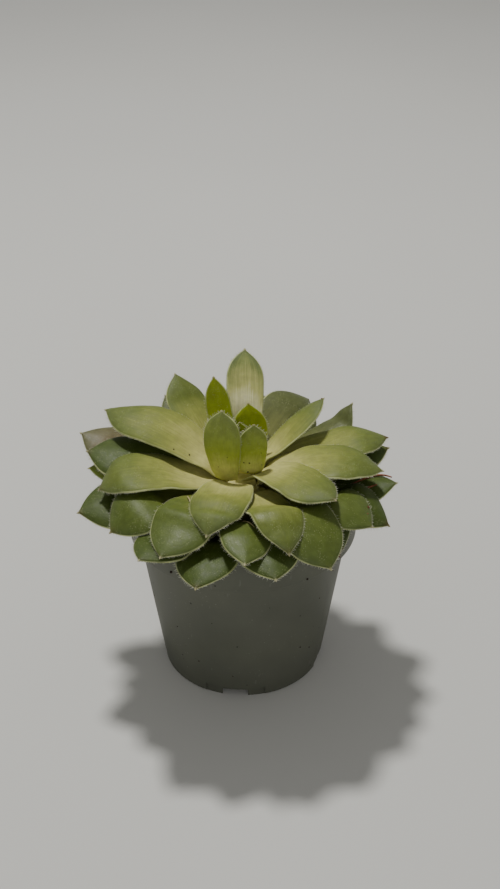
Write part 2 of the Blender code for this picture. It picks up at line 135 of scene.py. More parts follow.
# name, azimuth, base height, length, width, pitch at the base, pitch at the tip
LEAVES = (
    # lowest tier: every other leaf lies under its neighbours
    ("leaf_outer_01", -105, 44.8, 34.0, 14.5, 19, -9),
    ("leaf_outer_02", -48, 44.8, 27.5, 16.5, 26, -22),
    ("leaf_outer_03", -4, 44.8, 31.5, 13.5, 20, 5),
    ("leaf_outer_04", 42, 44.8, 31.0, 13.0, 20, 6),
    ("leaf_outer_05", 96, 44.8, 31.0, 13.5, 20, 5),
    ("leaf_outer_06", 160, 44.8, 38.0, 13.5, 24, 6),
    ("leaf_outer_07", -164, 44.8, 35.0, 15.5, 26, -12),
    ("leaf_outer_08", -125, 45.2, 34.5, 14.0, 20, 1),
    ("leaf_outer_09", -79, 45.2, 33.0, 14.5, 18, -2),
    ("leaf_outer_10", -22, 45.2, 31.0, 13.0, 15, -10),
    ("leaf_outer_11", 18, 45.4, 32.5, 12.5, 17, 8),
    ("leaf_outer_12", 69, 45.2, 30.0, 13.0, 20, 5),
    ("leaf_outer_13", 126, 45.2, 30.0, 13.0, 22, 8),
    ("leaf_outer_14", 176, 45.6, 32.0, 12.5, 17, 7),
    ("leaf_outer_15", 143, 45.8, 30.0, 12.5, 22, 6),
    # middle tier
    ("leaf_middle_01", -148, 46.6, 30.5, 15.0, 14, -10),
    ("leaf_middle_02", -89, 46.6, 32.0, 12.0, 15, 9),
    ("leaf_middle_03", -34, 46.6, 31.0, 14.5, 25, -9),
    ("leaf_middle_05", 82, 46.6, 29.0, 14.0, 30, 10),
    ("leaf_middle_11", 104, 46.4, 28.0, 13.0, 20, 6),
    ("leaf_middle_06", 129, 47.0, 29.0, 11.5, 26, 29),
    ("leaf_middle_07", 174, 47.0, 34.0, 14.5, 27, 6),
    ("leaf_middle_08", -119, 47.4, 33.0, 15.0, 21, -4),
    ("leaf_middle_09", -59, 47.4, 34.0, 15.0, 23, -19),
    ("leaf_middle_10", 62, 47.0, 32.5, 15.0, 48, -20),
    ("leaf_middle_04", 36, 48.0, 31.5, 10.5, 29, 22),
    # top tier
    ("leaf_upper_05", 17, 49.0, 34.0, 14.0, 24, -2),
    ("leaf_upper_02", -166, 49.4, 31.0, 16.0, 22, -16),
    ("leaf_upper_03", 124, 49.2, 31.5, 11.5, 43, 20),
    ("leaf_upper_01", -8, 49.6, 30.5, 14.5, 7, 17),
    ("leaf_upper_04", -73, 50.4, 32.0, 12.0, 24, -20),
    ("leaf_upper_06", 157, 50.2, 35.5, 14.5, 30, 9),
    ("leaf_upper_07", -105, 51.0, 27.5, 13.0, 9, -6),
    ("leaf_upper_08", -45, 51.0, 28.0, 12.5, 27, 6),
    ("leaf_upper_09", 39, 51.0, 26.0, 9.0, 33, 27),
    # upright leaves round the heart
    ("leaf_inner_01", 89, 50.6, 30.5, 9.0, 58, 45),
    ("leaf_inner_02", 121, 52.7, 21.5, 5.8, 62, 72),
    ("leaf_inner_03", -133, 52.8, 20.0, 8.5, 90, 87),
    ("leaf_inner_04", -68, 52.9, 17.0, 6.5, 76, 90),
    ("leaf_inner_05", 80, 52.2, 16.0, 9.5, 80, 77),
    ("leaf_inner_06", 115, 52.8, 13.0, 4.8, 92, 86),
    ("leaf_inner_07", 86, 52.8, 11.0, 4.4, 94, 84),
)
# distance of a leaf's base from the axis, where it isn't simply the stem's side
BASE_REACH = {
    "leaf_middle_10": 5.9,
    "leaf_inner_02": 5.2,
    "leaf_inner_03": 6.6,
    "leaf_inner_04": 4.9,
    "leaf_inner_05": 4.0,
    "leaf_inner_06": 1.6,
    "leaf_inner_07": 1.5,
}
# turn of the blade about its own length: positive lifts the margin on its left
ROLL = {
    "leaf_outer_01": 7,
    "leaf_outer_02": 8,
    "leaf_outer_03": 6,
    "leaf_outer_06": -16,
    "leaf_outer_07": -14,
    "leaf_outer_10": 9,
    "leaf_outer_11": 7,
    "leaf_outer_14": -7,
    "leaf_middle_01": -12,
    "leaf_middle_02": -9,
    "leaf_middle_04": -5,
    "leaf_middle_06": 8,
    "leaf_middle_07": -11,
    "leaf_middle_10": 28,
    "leaf_upper_03": 10,
    "leaf_upper_04": -7,
    "leaf_upper_06": -8,
    "leaf_upper_09": -16,
    "leaf_inner_01": 15,
    "leaf_inner_02": -32,
    "leaf_inner_03": 28,
    "leaf_inner_04": -18,
    "leaf_inner_05": 32,
}
# where the leaf is widest, for leaves that differ
WIDEST_AT = {
    "leaf_outer_01": 0.65,
    "leaf_outer_02": 0.70,
    "leaf_outer_06": 0.69,
    "leaf_outer_07": 0.66,
    "leaf_outer_08": 0.66,
    "leaf_outer_09": 0.65,
    "leaf_outer_10": 0.65,
    "leaf_outer_14": 0.65,
    "leaf_middle_01": 0.70,
    "leaf_middle_03": 0.67,
    "leaf_middle_07": 0.69,
    "leaf_middle_09": 0.68,
    "leaf_upper_02": 0.68,
    "leaf_upper_03": 0.70,
    "leaf_upper_07": 0.57,
    "leaf_inner_01": 0.72,
    "leaf_inner_02": 0.66,
    "leaf_inner_04": 0.54,
    "leaf_inner_05": 0.55,
}

# look of each tier, and of the leaves that differ from their tier
TIER_LOOK = {"outer": "shaded", "middle": "green", "upper": "pale", "inner": "heart"}
LEAF_LOOK = {
    "leaf_inner_01": "cream_and_painted_highlight",
    "leaf_inner_02": "olive",
    "leaf_inner_05": "olive",
    "leaf_inner_06": "olive",
    "leaf_middle_10": "dull",
    "leaf_middle_04": "dull",
    "leaf_middle_06": "dull",
    "leaf_middle_05": "dull",
    "leaf_middle_07": "shaded",
    "leaf_outer_06": "faded",
    "leaf_outer_14": "heart",
    "leaf_upper_01": "bright",
    "leaf_upper_04": "bright",
}
# stops down the upper face and down the underside, base to tip (linear colour)
LOOKS = {
    # darker copy of the green look: painted shade for the lower leaves lying under the upper tiers
    "shaded": {
        "gloss": 0.47,
        "upper": ((0.0, (0.36, 0.36, 0.09)), (0.30, (0.15, 0.18, 0.028)),
                  (0.65, (0.062, 0.094, 0.012)), (1.0, (0.070, 0.100, 0.022))),
        "under": ((0.0, (0.30, 0.30, 0.09)), (0.5, (0.12, 0.15, 0.05)), (1.0, (0.08, 0.11, 0.05))),
    },
    "faded": {
        "upper": ((0.0, (0.34, 0.33, 0.11)), (0.45, (0.22, 0.22, 0.075)),
                  (0.75, (0.19, 0.15, 0.075)), (1.0, (0.13, 0.13, 0.06))),
        "under": ((0.0, (0.30, 0.30, 0.09)), (0.5, (0.12, 0.15, 0.05)), (1.0, (0.08, 0.11, 0.05))),
    },
    "dull": {
        "upper": ((0.0, (0.52, 0.49, 0.20)), (0.30, (0.26, 0.27, 0.085)),
                  (0.62, (0.115, 0.130, 0.040)), (1.0, (0.105, 0.125, 0.045))),
        "under": ((0.0, (0.40, 0.39, 0.13)), (0.5, (0.16, 0.20, 0.06)), (1.0, (0.10, 0.14, 0.06))),
    },
    "green": {
        "upper": ((0.0, (0.50, 0.48, 0.15)), (0.30, (0.30, 0.32, 0.065)),
                  (0.62, (0.105, 0.140, 0.020)), (1.0, (0.095, 0.130, 0.032))),
        "under": ((0.0, (0.40, 0.39, 0.13)), (0.5, (0.16, 0.20, 0.06)), (1.0, (0.10, 0.14, 0.06))),
    },
    "pale": {
        "gloss": 0.52,
        "upper": ((0.0, (0.66, 0.61, 0.25)), (0.28, (0.52, 0.50, 0.17)),
                  (0.55, (0.27, 0.29, 0.065)), (0.80, (0.145, 0.180, 0.034)), (1.0, (0.125, 0.160, 0.045))),
        "under": ((0.0, (0.50, 0.48, 0.18)), (0.5, (0.21, 0.25, 0.08)), (1.0, (0.12, 0.17, 0.08))),
    },
    "heart": {
        "gloss": 0.50,
        "upper": ((0.0, (0.60, 0.56, 0.15)), (0.4, (0.34, 0.37, 0.05)), (1.0, (0.19, 0.25, 0.035))),
        "under": ((0.0, (0.66, 0.64, 0.20)), (0.22, (0.64, 0.65, 0.17)),
                  (0.5, (0.36, 0.43, 0.055)), (1.0, (0.22, 0.27, 0.08))),
    },
    "olive": {
        "upper": ((0.0, (0.56, 0.58, 0.09)), (0.4, (0.38, 0.46, 0.010)), (1.0, (0.24, 0.30, 0.008))),
        "under": ((0.0, (0.50, 0.49, 0.17)), (0.5, (0.22, 0.27, 0.06)), (1.0, (0.15, 0.20, 0.07))),
    },
    # near-white base: partly the leaf's own cream colour, partly a painted highlight and sheen on the base
    "cream_and_painted_highlight": {
        "base_gloss": 0.38,
        "upper": ((0.0, (1.0, 0.96, 0.60)), (0.56, (0.98, 0.94, 0.58)),
                  (0.72, (0.52, 0.52, 0.19)), (0.88, (0.24, 0.28, 0.09)), (1.0, (0.15, 0.19, 0.07))),
        "under": ((0.0, (0.60, 0.57, 0.28)), (0.5, (0.30, 0.33, 0.10)), (1.0, (0.15, 0.19, 0.08))),
    },
}
LOOKS["bright"] = dict(LOOKS["pale"], gloss=0.36)
TIP_BROWN = {"leaf_outer_02": 1.0, "leaf_upper_05": 0.7, "leaf_outer_10": 0.5, "leaf_outer_11": 0.4}
MARGIN_COLOUR = (0.58, 0.62, 0.30)
TIP_COLOUR = (0.55, 0.52, 0.32)
BROWN = (0.12, 0.05, 0.025)

# a long soft fold in a leaf: place across, drop of the blade beyond it
FOLDS = {"leaf_upper_06": (-0.42, 0.34)}

# fallen pine needles: leaf they lie on, start and end as (along, across), arch
NEEDLES = (
    ("pine_needle_01", "leaf_outer_03", (0.62, 0.04), (0.95, 0.80), 0.2),
    ("pine_needle_02", "leaf_outer_03", (0.66, -0.38), (0.84, -0.12), 0.1),
)
NEEDLE_RADIUS = 0.27
# bits of dry straw caught on the leaves, in the same form
STRAWS = (
    ("dry_straw_01", "leaf_middle_08", (0.40, -0.80), (0.55, -0.10), 0.5),
    ("dry_straw_02", "leaf_middle_02", (0.50, -0.30), (0.64, 0.33), 0.3),
)
STRAW_RADIUS = 0.13
# specks of soil: leaf, along, across, size; the upright leaves show their undersides
LEAF_SPECKS = (
    ("leaf_inner_04", 0.34, -0.65, 0.17), ("leaf_inner_04", 0.35, -0.22, 0.20),
    ("leaf_inner_04", 0.19, -0.39, 0.24), ("leaf_inner_04", 0.30, 0.80, 0.14),
    ("leaf_inner_04", 0.50, 0.56, 0.13), ("leaf_inner_04", 0.62, 0.10, 0.10),
    ("leaf_inner_03", 0.42, 0.35, 0.12), ("leaf_inner_03", 0.25, -0.30, 0.12),
    ("leaf_inner_01", 0.66, 0.10, 0.13), ("leaf_inner_01", 0.58, -0.25, 0.10),
    ("leaf_upper_06", 0.67, -0.26, 0.14), ("leaf_upper_06", 0.30, 0.72, 0.26),
    ("leaf_upper_06", 0.40, 0.86, 0.20), ("leaf_outer_07", 0.88, -0.09, 0.16),
    ("leaf_outer_08", 0.90, -0.60, 0.16), ("leaf_upper_01", 0.12, -0.50, 0.30),
    ("leaf_upper_01", 0.15, -0.30, 0.22), ("leaf_upper_01", 0.18, -0.55, 0.26),
    ("leaf_upper_05", 0.14, 0.30, 0.24), ("leaf_upper_08", 0.16, -0.70, 0.26),
    ("leaf_middle_08", 0.62, -0.30, 0.12), ("leaf_middle_03", 0.50, 0.30, 0.12),
    ("leaf_middle_07", 0.55, 0.20, 0.13), ("leaf_outer_03", 0.63, -0.20, 0.34),
    ("leaf_outer_03", 0.70, -0.55, 0.30), ("leaf_outer_03", 0.77, -0.25, 0.24),
)
BROWN_SPECKS = (
    ("leaf_middle_03", 0.865, 0.80, 0.34), ("leaf_middle_03", 0.90, 0.50, 0.26),
    ("leaf_outer_02", 0.97, -0.10, 0.50), ("leaf_upper_09", 0.97, 0.05, 0.22),
)
# specks on the pot: azimuth, height, size
POT_SPECKS = (
    (-126.7, 39.8, 0.42), (-57.2, 38.6, 0.30), (-40, 27, 0.20), (-134, 19.1, 0.20), (-120, 10.1, 0.22),
    (-96.7, 7.3, 0.18), (-50.5, 13.1, 0.22), (-41, 10.8, 0.20), (-75, 30.5, 0.12), (-108, 25.0, 0.12),
    (-30, 33, 0.2), (40, 28, 0.25), (95, 17, 0.22), (150, 30, 0.24), (200, 22, 0.2), (178, 39.5, 0.3),
)

low_pot, high_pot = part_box("pot")
AXIS = ((low_pot.x + high_pot.x) / 2, (low_pot.y + high_pot.y) / 2, low_pot.z)
random = np.random.default_rng(7)


# ---------------------------------------------------------------- materials

class Paint:
    """Short calls for building one material's nodes."""

    def __init__(self, name):
        self.material = bpy.data.materials.new(name)
        self.material.use_nodes = True
        self.tree = self.material.node_tree
        self.shader = self.tree.nodes["Principled BSDF"]

    def node(self, kind, inputs=None, **settings):
        made = self.tree.nodes.new(kind)
        for key, value in settings.items():
            setattr(made, key, value)
        for key, value in (inputs or {}).items():
            self.feed(made.inputs[key], value)
        return made

    def feed(self, socket, value):
        if isinstance(value, bpy.types.NodeSocket):
            self.tree.links.new(value, socket)
        elif socket.type == "RGBA" and len(value) == 3:
            socket.default_value = (*value, 1)
        else:
            socket.default_value = value

    def attribute(self, name):
        return self.node("ShaderNodeAttribute", attribute_name=name).outputs["Fac"]

    def place(self):
        return self.node("ShaderNodeTexCoord").outputs["Object"]

    def math(self, operation, first, second=0.0):
        return self.node("ShaderNodeMath", {0: first, 1: second}, operation=operation).outputs[0]

    def join(self, x, y, z):
        return self.node("ShaderNodeCombineXYZ", {0: x, 1: y, 2: z}).outputs[0]

    def noise(self, where, scale, detail=2.0, roughness=0.5):
        found = self.node("ShaderNodeTexNoise", {
            "Vector": where, "Scale": scale, "Detail": detail, "Roughness": roughness,
        })
        return found.outputs["Fac"]

    def cells(self, where, scale, feature="F1"):
        found = self.node("ShaderNodeTexVoronoi", {"Vector": where, "Scale": scale}, feature=feature)
        return found.outputs["Distance"]

    def between(self, value, low, high, to_low=0.0, to_high=1.0):
        return self.node("ShaderNodeMapRange", {
            "Value": value, "From Min": low, "From Max": high, "To Min": to_low, "To Max": to_high,
        }, interpolation_type="SMOOTHSTEP").outputs["Result"]

    def ramp(self, value, stops):
        made = self.node("ShaderNodeValToRGB", {"Fac": value})
        points = made.color_ramp.elements
        while len(points) < len(stops):
            points.new(0.5)
        for point, (place, colour) in zip(points, stops):
            point.position = place
            point.color = (*colour, 1)
        return made.outputs["Color"]

    def mix(self, share, first, second, blend="MIX"):
        made = self.node("ShaderNodeMix", data_type="RGBA", blend_type=blend)
        for index, value in ((0, share), (6, first), (7, second)):
            self.feed(made.inputs[index], value)
        return made.outputs[2]

    def bump(self, height, strength, distance, after=None):
        inputs = {"Height": height, "Strength": strength, "Distance": distance}
        if after is not None:
            inputs["Normal"] = after
        return self.node("ShaderNodeBump", inputs).outputs["Normal"]

    def set(self, **values):
        for key, value in values.items():
            self.feed(self.shader.inputs[key.replace("_", " ")], value)
        return self.material


def leaf_material(name, look):
    """Grades from a pale base to a green tip, with a pale margin and fine papillae."""
    paint = Paint(name)
    along, across, face = (paint.attribute(key) for key in ("along", "across", "face"))
    seed, brown = paint.attribute("seed"), paint.attribute("brown")
    where = paint.place()
    edge = paint.math("ABSOLUTE", across)
    broad = paint.noise(where, 150, 2)
    mottle = paint.noise(where, 700, 3)
    lanes = paint.noise(paint.join(paint.math("MULTIPLY", across, 5.0),
                                   paint.math("MULTIPLY", along, 1.6), seed), 3.0, 3)
    fine_lanes = paint.noise(paint.join(paint.math("MULTIPLY", across, 22.0),
                                        paint.math("MULTIPLY", along, 3.0), seed), 3.0, 2)

    grade = paint.math("ADD", along, paint.math("MULTIPLY", paint.math("POWER", edge, 2.0), 0.12))
    for pattern, amount in ((broad, 0.30), (lanes, 0.22), (mottle, 0.06)):
        shift = paint.math("MULTIPLY", paint.math("SUBTRACT", pattern, 0.5), amount)
        grade = paint.math("ADD", grade, shift)
    above = paint.ramp(grade, look["upper"])
    below = paint.ramp(grade, look["under"])
    colour = paint.mix(paint.between(face, -0.25, 0.25), below, above)

    shade = paint.between(mottle, 0.3, 0.7, 0.90, 1.08)
    colour = paint.mix(1.0, colour, paint.join(shade, shade, shade), "MULTIPLY")
    streak = paint.between(fine_lanes, 0.35, 0.7, 0.94, 1.05)
    colour = paint.mix(1.0, colour, paint.join(streak, streak, streak), "MULTIPLY")

    pores = paint.cells(where, 2600)
    scatter = paint.between(paint.noise(where, 420, 2), 0.42, 0.62)
    dots = paint.math("MULTIPLY", paint.between(pores, 0.30, 0.12), scatter)
    dots = paint.math("MULTIPLY", dots, paint.between(along, 0.15, 0.7, 0.15, 0.34))
    colour = paint.mix(dots, colour, (0.60, 0.62, 0.34))

    blemish = paint.between(paint.noise(where, 330, 4, 0.65), 0.735, 0.78)
    colour = paint.mix(paint.math("MULTIPLY", blemish, 0.55), colour, (0.20, 0.12, 0.05))

    rim = paint.math("MULTIPLY", paint.between(edge, 0.975, 0.998),
                     paint.between(along, 0.05, 0.5, 0.30, 0.95))
    rim = paint.math("MULTIPLY", rim, paint.between(paint.noise(where, 260, 2), 0.35, 0.65, 0.45, 1.0))
    colour = paint.mix(rim, colour, MARGIN_COLOUR)
    tip = paint.between(along, BLADE_END - 0.012, BLADE_END + 0.008)
    colour = paint.mix(paint.math("MULTIPLY", tip, 0.85), colour, TIP_COLOUR)
    burnt = paint.math("MULTIPLY", paint.between(along, BLADE_END - 0.05, 0.99), brown)
    colour = paint.mix(burnt, colour, BROWN)

    gloss = paint.between(along, 0.42, 0.78, look.get("base_gloss", 0.68), look.get("gloss", 0.42))
    gloss = paint.math("ADD", gloss, paint.between(mottle, 0.3, 0.7, -0.05, 0.06))
    gloss = paint.math("ADD", gloss, paint.between(face, 0.25, -0.25, 0.0, 0.12))
    relief = paint.bump(pores, 0.35, 0.00005)
    relief = paint.bump(mottle, 0.35, 0.00012, relief)
    relief = paint.bump(fine_lanes, 0.25, 0.00012, relief)
    return paint.set(Base_Color=colour, Roughness=gloss, Normal=relief, Subsurface_Weight=0.15,
                     Subsurface_Radius=(0.8, 1.0, 0.3), Subsurface_Scale=0.0010,
                     Specular_IOR_Level=0.23)


def hair_material():
    paint = Paint("leaf_hair")
    where = paint.place()
    tone = paint.ramp(paint.noise(where, 260, 2), ((0.35, (0.60, 0.60, 0.44)), (0.65, (0.80, 0.80, 0.68))))
    return paint.set(Base_Color=tone, Roughness=paint.between(paint.noise(where, 900), 0.3, 0.7, 0.4, 0.6))


def pot_material():
    """Thin injection-moulded grey plastic, dusty, scuffed and specked with soil."""
    paint = Paint("grey_plastic_moulded")
    where = paint.place()
    cloud = paint.noise(where, 55, 4, 0.55)
    grain = paint.noise(where, 2400, 2)
    colour = paint.ramp(cloud, ((0.3, (0.100, 0.106, 0.082)), (0.7, (0.128, 0.134, 0.104))))
    stretch = paint.node("ShaderNodeMapping", {"Vector": where, "Scale": (1.0, 1.0, 0.12)}).outputs[0]
    runs = paint.between(paint.noise(stretch, 420, 3, 0.6), 0.55, 0.75)
    colour = paint.mix(paint.math("MULTIPLY", runs, 0.10), colour, (0.20, 0.20, 0.18))
    scuffs = paint.between(paint.noise(paint.node("ShaderNodeMapping", {
        "Vector": where, "Rotation": (0.4, 0.3, 0.0), "Scale": (1.0, 1.0, 0.25)}).outputs[0],
        900, 2, 0.5), 0.70, 0.76)
    colour = paint.mix(paint.math("MULTIPLY", scuffs, 0.25), colour, (0.24, 0.24, 0.22))
    dust = paint.math("MULTIPLY", paint.between(paint.cells(where, 900), 0.16, 0.08),
                      paint.between(paint.noise(where, 120, 3), 0.52, 0.66))
    colour = paint.mix(paint.math("MULTIPLY", dust, 0.55), colour, (0.30, 0.29, 0.25))
    soil = paint.math("MULTIPLY", paint.between(paint.cells(where, 430), 0.13, 0.09),
                      paint.between(paint.noise(where, 90, 3), 0.56, 0.64))
    colour = paint.mix(paint.math("MULTIPLY", soil, 0.9), colour, (0.016, 0.011, 0.008))
    rough = paint.between(cloud, 0.3, 0.7, 0.50, 0.60)
    rough = paint.math("ADD", rough, paint.math("MULTIPLY", runs, 0.12))
    relief = paint.bump(grain, 0.25, 0.00004)
    relief = paint.bump(cloud, 0.10, 0.0004, relief)
    relief = paint.bump(soil, 0.5, 0.00012, relief)
    return paint.set(Base_Color=colour, Roughness=rough, Normal=relief, Specular_IOR_Level=0.35)


def soil_material():
    paint = Paint("potting_soil_peat")
    where = paint.place()
    lumps = paint.noise(where, 650, 5, 0.6)
    fibres = paint.noise(paint.node("ShaderNodeMapping", {
        "Vector": where, "Scale": (1.0, 0.2, 0.6), "Rotation": (0.0, 0.0, 0.7)}).outputs[0], 1500, 3)
    colour = paint.ramp(lumps, ((0.30, (0.010, 0.007, 0.005)), (0.52, (0.030, 0.019, 0.012)),
                                (0.72, (0.070, 0.045, 0.028))))
    colour = paint.mix(paint.between(fibres, 0.60, 0.72), colour, (0.13, 0.085, 0.045))
    relief = paint.bump(lumps, 0.8, 0.0005)
    relief = paint.bump(paint.cells(where, 1800), 0.5, 0.0002, relief)
    return paint.set(Base_Color=colour, Roughness=paint.between(lumps, 0.3, 0.7, 0.98, 0.85), Normal=relief)


def grit_material():
    paint = Paint("perlite_grit")
    where = paint.place()
    pits = paint.noise(where, 1700, 4, 0.65)
    colour = paint.ramp(pits, ((0.3, (0.42, 0.39, 0.33)), (0.65, (0.72, 0.70, 0.64))))
    return paint.set(Base_Color=colour, Roughness=paint.between(pits, 0.3, 0.7, 0.95, 0.8),
                     Normal=paint.bump(pits, 0.8, 0.0003))


def stem_material():
    paint = Paint("plant_stem_bark")
    where = paint.place()
    rings = paint.noise(paint.node("ShaderNodeMapping", {
        "Vector": where, "Scale": (0.35, 0.35, 1.0)}).outputs[0], 900, 4, 0.6)
    colour = paint.ramp(rings, ((0.3, (0.46, 0.42, 0.13)), (0.55, (0.58, 0.55, 0.20)),
                                (0.75, (0.66, 0.64, 0.27))))
    return paint.set(Base_Color=colour, Roughness=paint.between(rings, 0.3, 0.7, 0.9, 0.7),
                     Normal=paint.bump(rings, 0.9, 0.0005))


def dry_material(name, dark, light, scale):
    """Dry plant matter, streaked lengthwise: needles, straw and scales."""
    paint = Paint(name)
    where = paint.place()
    streaks = paint.noise(where, scale, 4, 0.6)
    colour = paint.ramp(streaks, ((0.32, dark), (0.68, light)))
    return paint.set(Base_Color=colour, Roughness=paint.between(streaks, 0.3, 0.7, 0.65, 0.45),
                     Normal=paint.bump(streaks, 0.4, 0.00005))


def floor_material():
    paint = Paint("studio_floor")
    where = paint.place()
    colour = paint.ramp(paint.noise(where, 3, 3), ((0.3, (0.62, 0.62, 0.60)), (0.7, (0.66, 0.66, 0.64))))
    return paint.set(Base_Color=colour, Roughness=0.8, Specular_IOR_Level=0.2,
                     Normal=paint.bump(paint.noise(where, 900, 2), 0.05, 0.0002))


# ---------------------------------------------------------------- objects

def place_mm(points):
    """Points in millimetres from the pot's axis, in the frame's metres."""
    return np.asarray(points, float) * MM + np.array(AXIS)


def mesh_object(name, points, faces, material, attributes=None, smooth=True):
    mesh = bpy.data.meshes.new(name)
    mesh.from_pydata(place_mm(points).tolist(), [], faces)
    for key, values in (attributes or {}).items():
        layer = mesh.attributes.new(key, "FLOAT", "POINT")
        layer.data.foreach_set("value", np.asarray(values, np.float32))
    if smooth:
        mesh.polygons.foreach_set("use_smooth", [True] * len(mesh.polygons))
    mesh.materials.append(material)
    mesh.update()
    made = bpy.data.objects.new(name, mesh)
    bpy.context.scene.collection.objects.link(made)
    return made


def stand_for(piece, slot, *nodes):
    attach(piece, "root")
    if nodes:
        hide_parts(*nodes)
    return piece


def closed_rings(count, size, low_cap=True, high_cap=True):
    """Quads joining rings of points, each ring of the same size, with capped ends."""
    faces = []
    for k in range(count - 1):
        for q in range(size):
            a, b = k * size + q, k * size + (q + 1) % size
            faces.append((a, a + size, b + size, b))
    if low_cap:
        faces.append(tuple(range(size)))
    if high_cap:
        faces.append(tuple(range((count - 1) * size, count * size))[::-1])
    return faces


# ---------------------------------------------------------------- pot

def outer_radius(height):
    return FOOT_RADIUS + WALL_SLOPE * height


def pot_profile():
    """Down the outside, under the floor, and up the inside."""
    shoulder = BAND_BOTTOM - 0.5
    inner_rim = RIM_RADIUS - RIM_WALL
    foot_inside = FOOT_RADIUS - FOOT_WALL
    return [
        (RIM_RADIUS - 0.3, POT_HEIGHT),
        (RIM_RADIUS, POT_HEIGHT - 0.35),
        (BAND_RADIUS, BAND_BOTTOM + 0.5),
        (BAND_RADIUS - 0.3, BAND_BOTTOM),
        (outer_radius(shoulder) + 0.5, shoulder),
        (outer_radius(shoulder - 0.5), shoulder - 0.5),
        (outer_radius(25.0), 25.0),
        (outer_radius(12.0), 12.0),
        (outer_radius(0.35), 0.35),
        (FOOT_RADIUS - 0.3, 0.0),
        (foot_inside + 0.2, 0.0),
        (foot_inside, 0.3),
        (foot_inside - 0.2, FLOOR_UNDER - 0.2),
        (foot_inside - 0.5, FLOOR_UNDER),
        (CENTRE_HOLE_RADIUS, FLOOR_UNDER),
        (CENTRE_HOLE_RADIUS, FLOOR_TOP),
        (outer_radius(FLOOR_TOP) - WALL - 0.5, FLOOR_TOP),
        (outer_radius(FLOOR_TOP) - WALL, FLOOR_TOP + 0.5),
        (outer_radius(BAND_BOTTOM) - WALL, BAND_BOTTOM),
        (inner_rim - 0.2, BAND_BOTTOM + 1.6),
        (inner_rim, BAND_BOTTOM + 2.2),
        (inner_rim, POT_HEIGHT - 0.35),
        (inner_rim + 0.25, POT_HEIGHT),
    ]


def turned_points(profile, steps):
    angles = np.linspace(0, 2 * np.pi, steps, endpoint=False)
    profile = np.array(profile)
    return np.stack([
        np.cos(angles)[:, None] * profile[None, :, 0],
        np.sin(angles)[:, None] * profile[None, :, 0],
        np.broadcast_to(profile[None, :, 1], (steps, len(profile))),
    ], 2).reshape(-1, 3)


def turned_faces(count, steps):
    faces = []
    for k in range(steps):
        for q in range(count):
            a, b = k * count + q, k * count + (q + 1) % count
            c, d = (k + 1) % steps * count + (q + 1) % count, (k + 1) % steps * count + q
            faces.append((a, b, c, d))
    return faces


def rotated(points, degrees):
    turn = math.radians(degrees)
    x, y, z = np.asarray(points, float).T
    east, north = math.cos(turn), math.sin(turn)
    return np.stack([x * east - y * north, x * north + y * east, z], 1)


def notch_cutter(index, material):
    """A small archway with rounded shoulders through the foot ring."""
    half, arc = NOTCH_WIDTH / 2, 0.6
    outline = [(-half, -1.0), (half, -1.0)]
    for centre, start in ((half - arc, 0), (-half + arc, 90)):
        for k in range(5):
            turn = math.radians(start + 22.5 * k)
            outline.append((centre + arc * math.cos(turn), NOTCH_HEIGHT - arc + arc * math.sin(turn)))
    reach = (FOOT_RADIUS - 3.0, FOOT_RADIUS + 2.0)
    points = [(x, y, z) for x in reach for y, z in outline]
    points = rotated(points, NOTCH_AZIMUTH + 360 / NOTCH_COUNT * index)
    return mesh_object(f"notch_cutter_{index + 1}", points, closed_rings(2, len(outline)), material)


def panel_cutter(index, material):
    """A curved bar that shaves the shallow recess round a notch."""
    half = math.degrees(math.asin(PANEL_WIDTH / 2 / FOOT_RADIUS))
    low, high = -1.0, PANEL_HEIGHT
    profile = [
        (FOOT_RADIUS + 3.0, high),
        (FOOT_RADIUS + 3.0, low),
        (outer_radius(low) - PANEL_DEPTH, low),
        (outer_radius(high) - PANEL_DEPTH, high),
    ]
    steps, points = 36, []
    for k in range(steps + 1):
        angle = math.radians(-half + 2 * half * k / steps)
        points += [(r * math.cos(angle), r * math.sin(angle), z) for r, z in profile]
    points = rotated(points, NOTCH_AZIMUTH + 360 / NOTCH_COUNT * index)
    return mesh_object(f"panel_cutter_{index + 1}", points, closed_rings(steps + 1, 4), material)


def drain_cutter(index, material):
    centre = math.radians(NOTCH_AZIMUTH + 360 / NOTCH_COUNT * (index + 0.5))
    points = []
    for z in (FLOOR_UNDER - 1.5, FLOOR_TOP + 1.5):
        for k in range(40):
            turn = math.radians(9 * k)
            points.append((DRAIN_REACH * math.cos(centre) + DRAIN_RADIUS * math.cos(turn),
                           DRAIN_REACH * math.sin(centre) + DRAIN_RADIUS * math.sin(turn), z))
    return mesh_object(f"drain_cutter_{index + 1}", points, closed_rings(2, 40), material)


def apply_modifiers(thing):
    graph = bpy.context.evaluated_depsgraph_get()
    mesh = bpy.data.meshes.new_from_object(thing.evaluated_get(graph))
    thing.modifiers.clear()
    thing.data = mesh


def face_outwards(thing):
    bm = bmesh.new()
    bm.from_mesh(thing.data)
    bmesh.ops.recalc_face_normals(bm, faces=bm.faces)
    bm.to_mesh(thing.data)
    bm.free()


def build_pot(material):
    profile = pot_profile()
    pot = mesh_object("nursery_pot", turned_points(profile, POT_STEPS),
                      turned_faces(len(profile), POT_STEPS), material)
    face_outwards(pot)
    cutters = []
    for index in range(NOTCH_COUNT):
        for make in (panel_cutter, notch_cutter, drain_cutter):
            cutter = make(index, material)
            face_outwards(cutter)
            cut = pot.modifiers.new(cutter.name, "BOOLEAN")
            cut.operation = "DIFFERENCE"
            cut.solver = "EXACT"
            cut.object = cutter
            cutters.append(cutter)
    soften = pot.modifiers.new("Soften", "BEVEL")
    soften.width = POT_ROUNDING * MM
    soften.segments = 3
    soften.limit_method = "ANGLE"
    soften.angle_limit = math.radians(32)
    apply_modifiers(pot)
    for cutter in cutters:
        bpy.data.objects.remove(cutter, do_unlink=True)
    pot.data.polygons.foreach_set("use_smooth", [True] * len(pot.data.polygons))
    pot.data.set_sharp_from_angle(angle=math.radians(40))
    return stand_for(pot, "grey_plastic", "pot")


# ---------------------------------------------------------------- soil

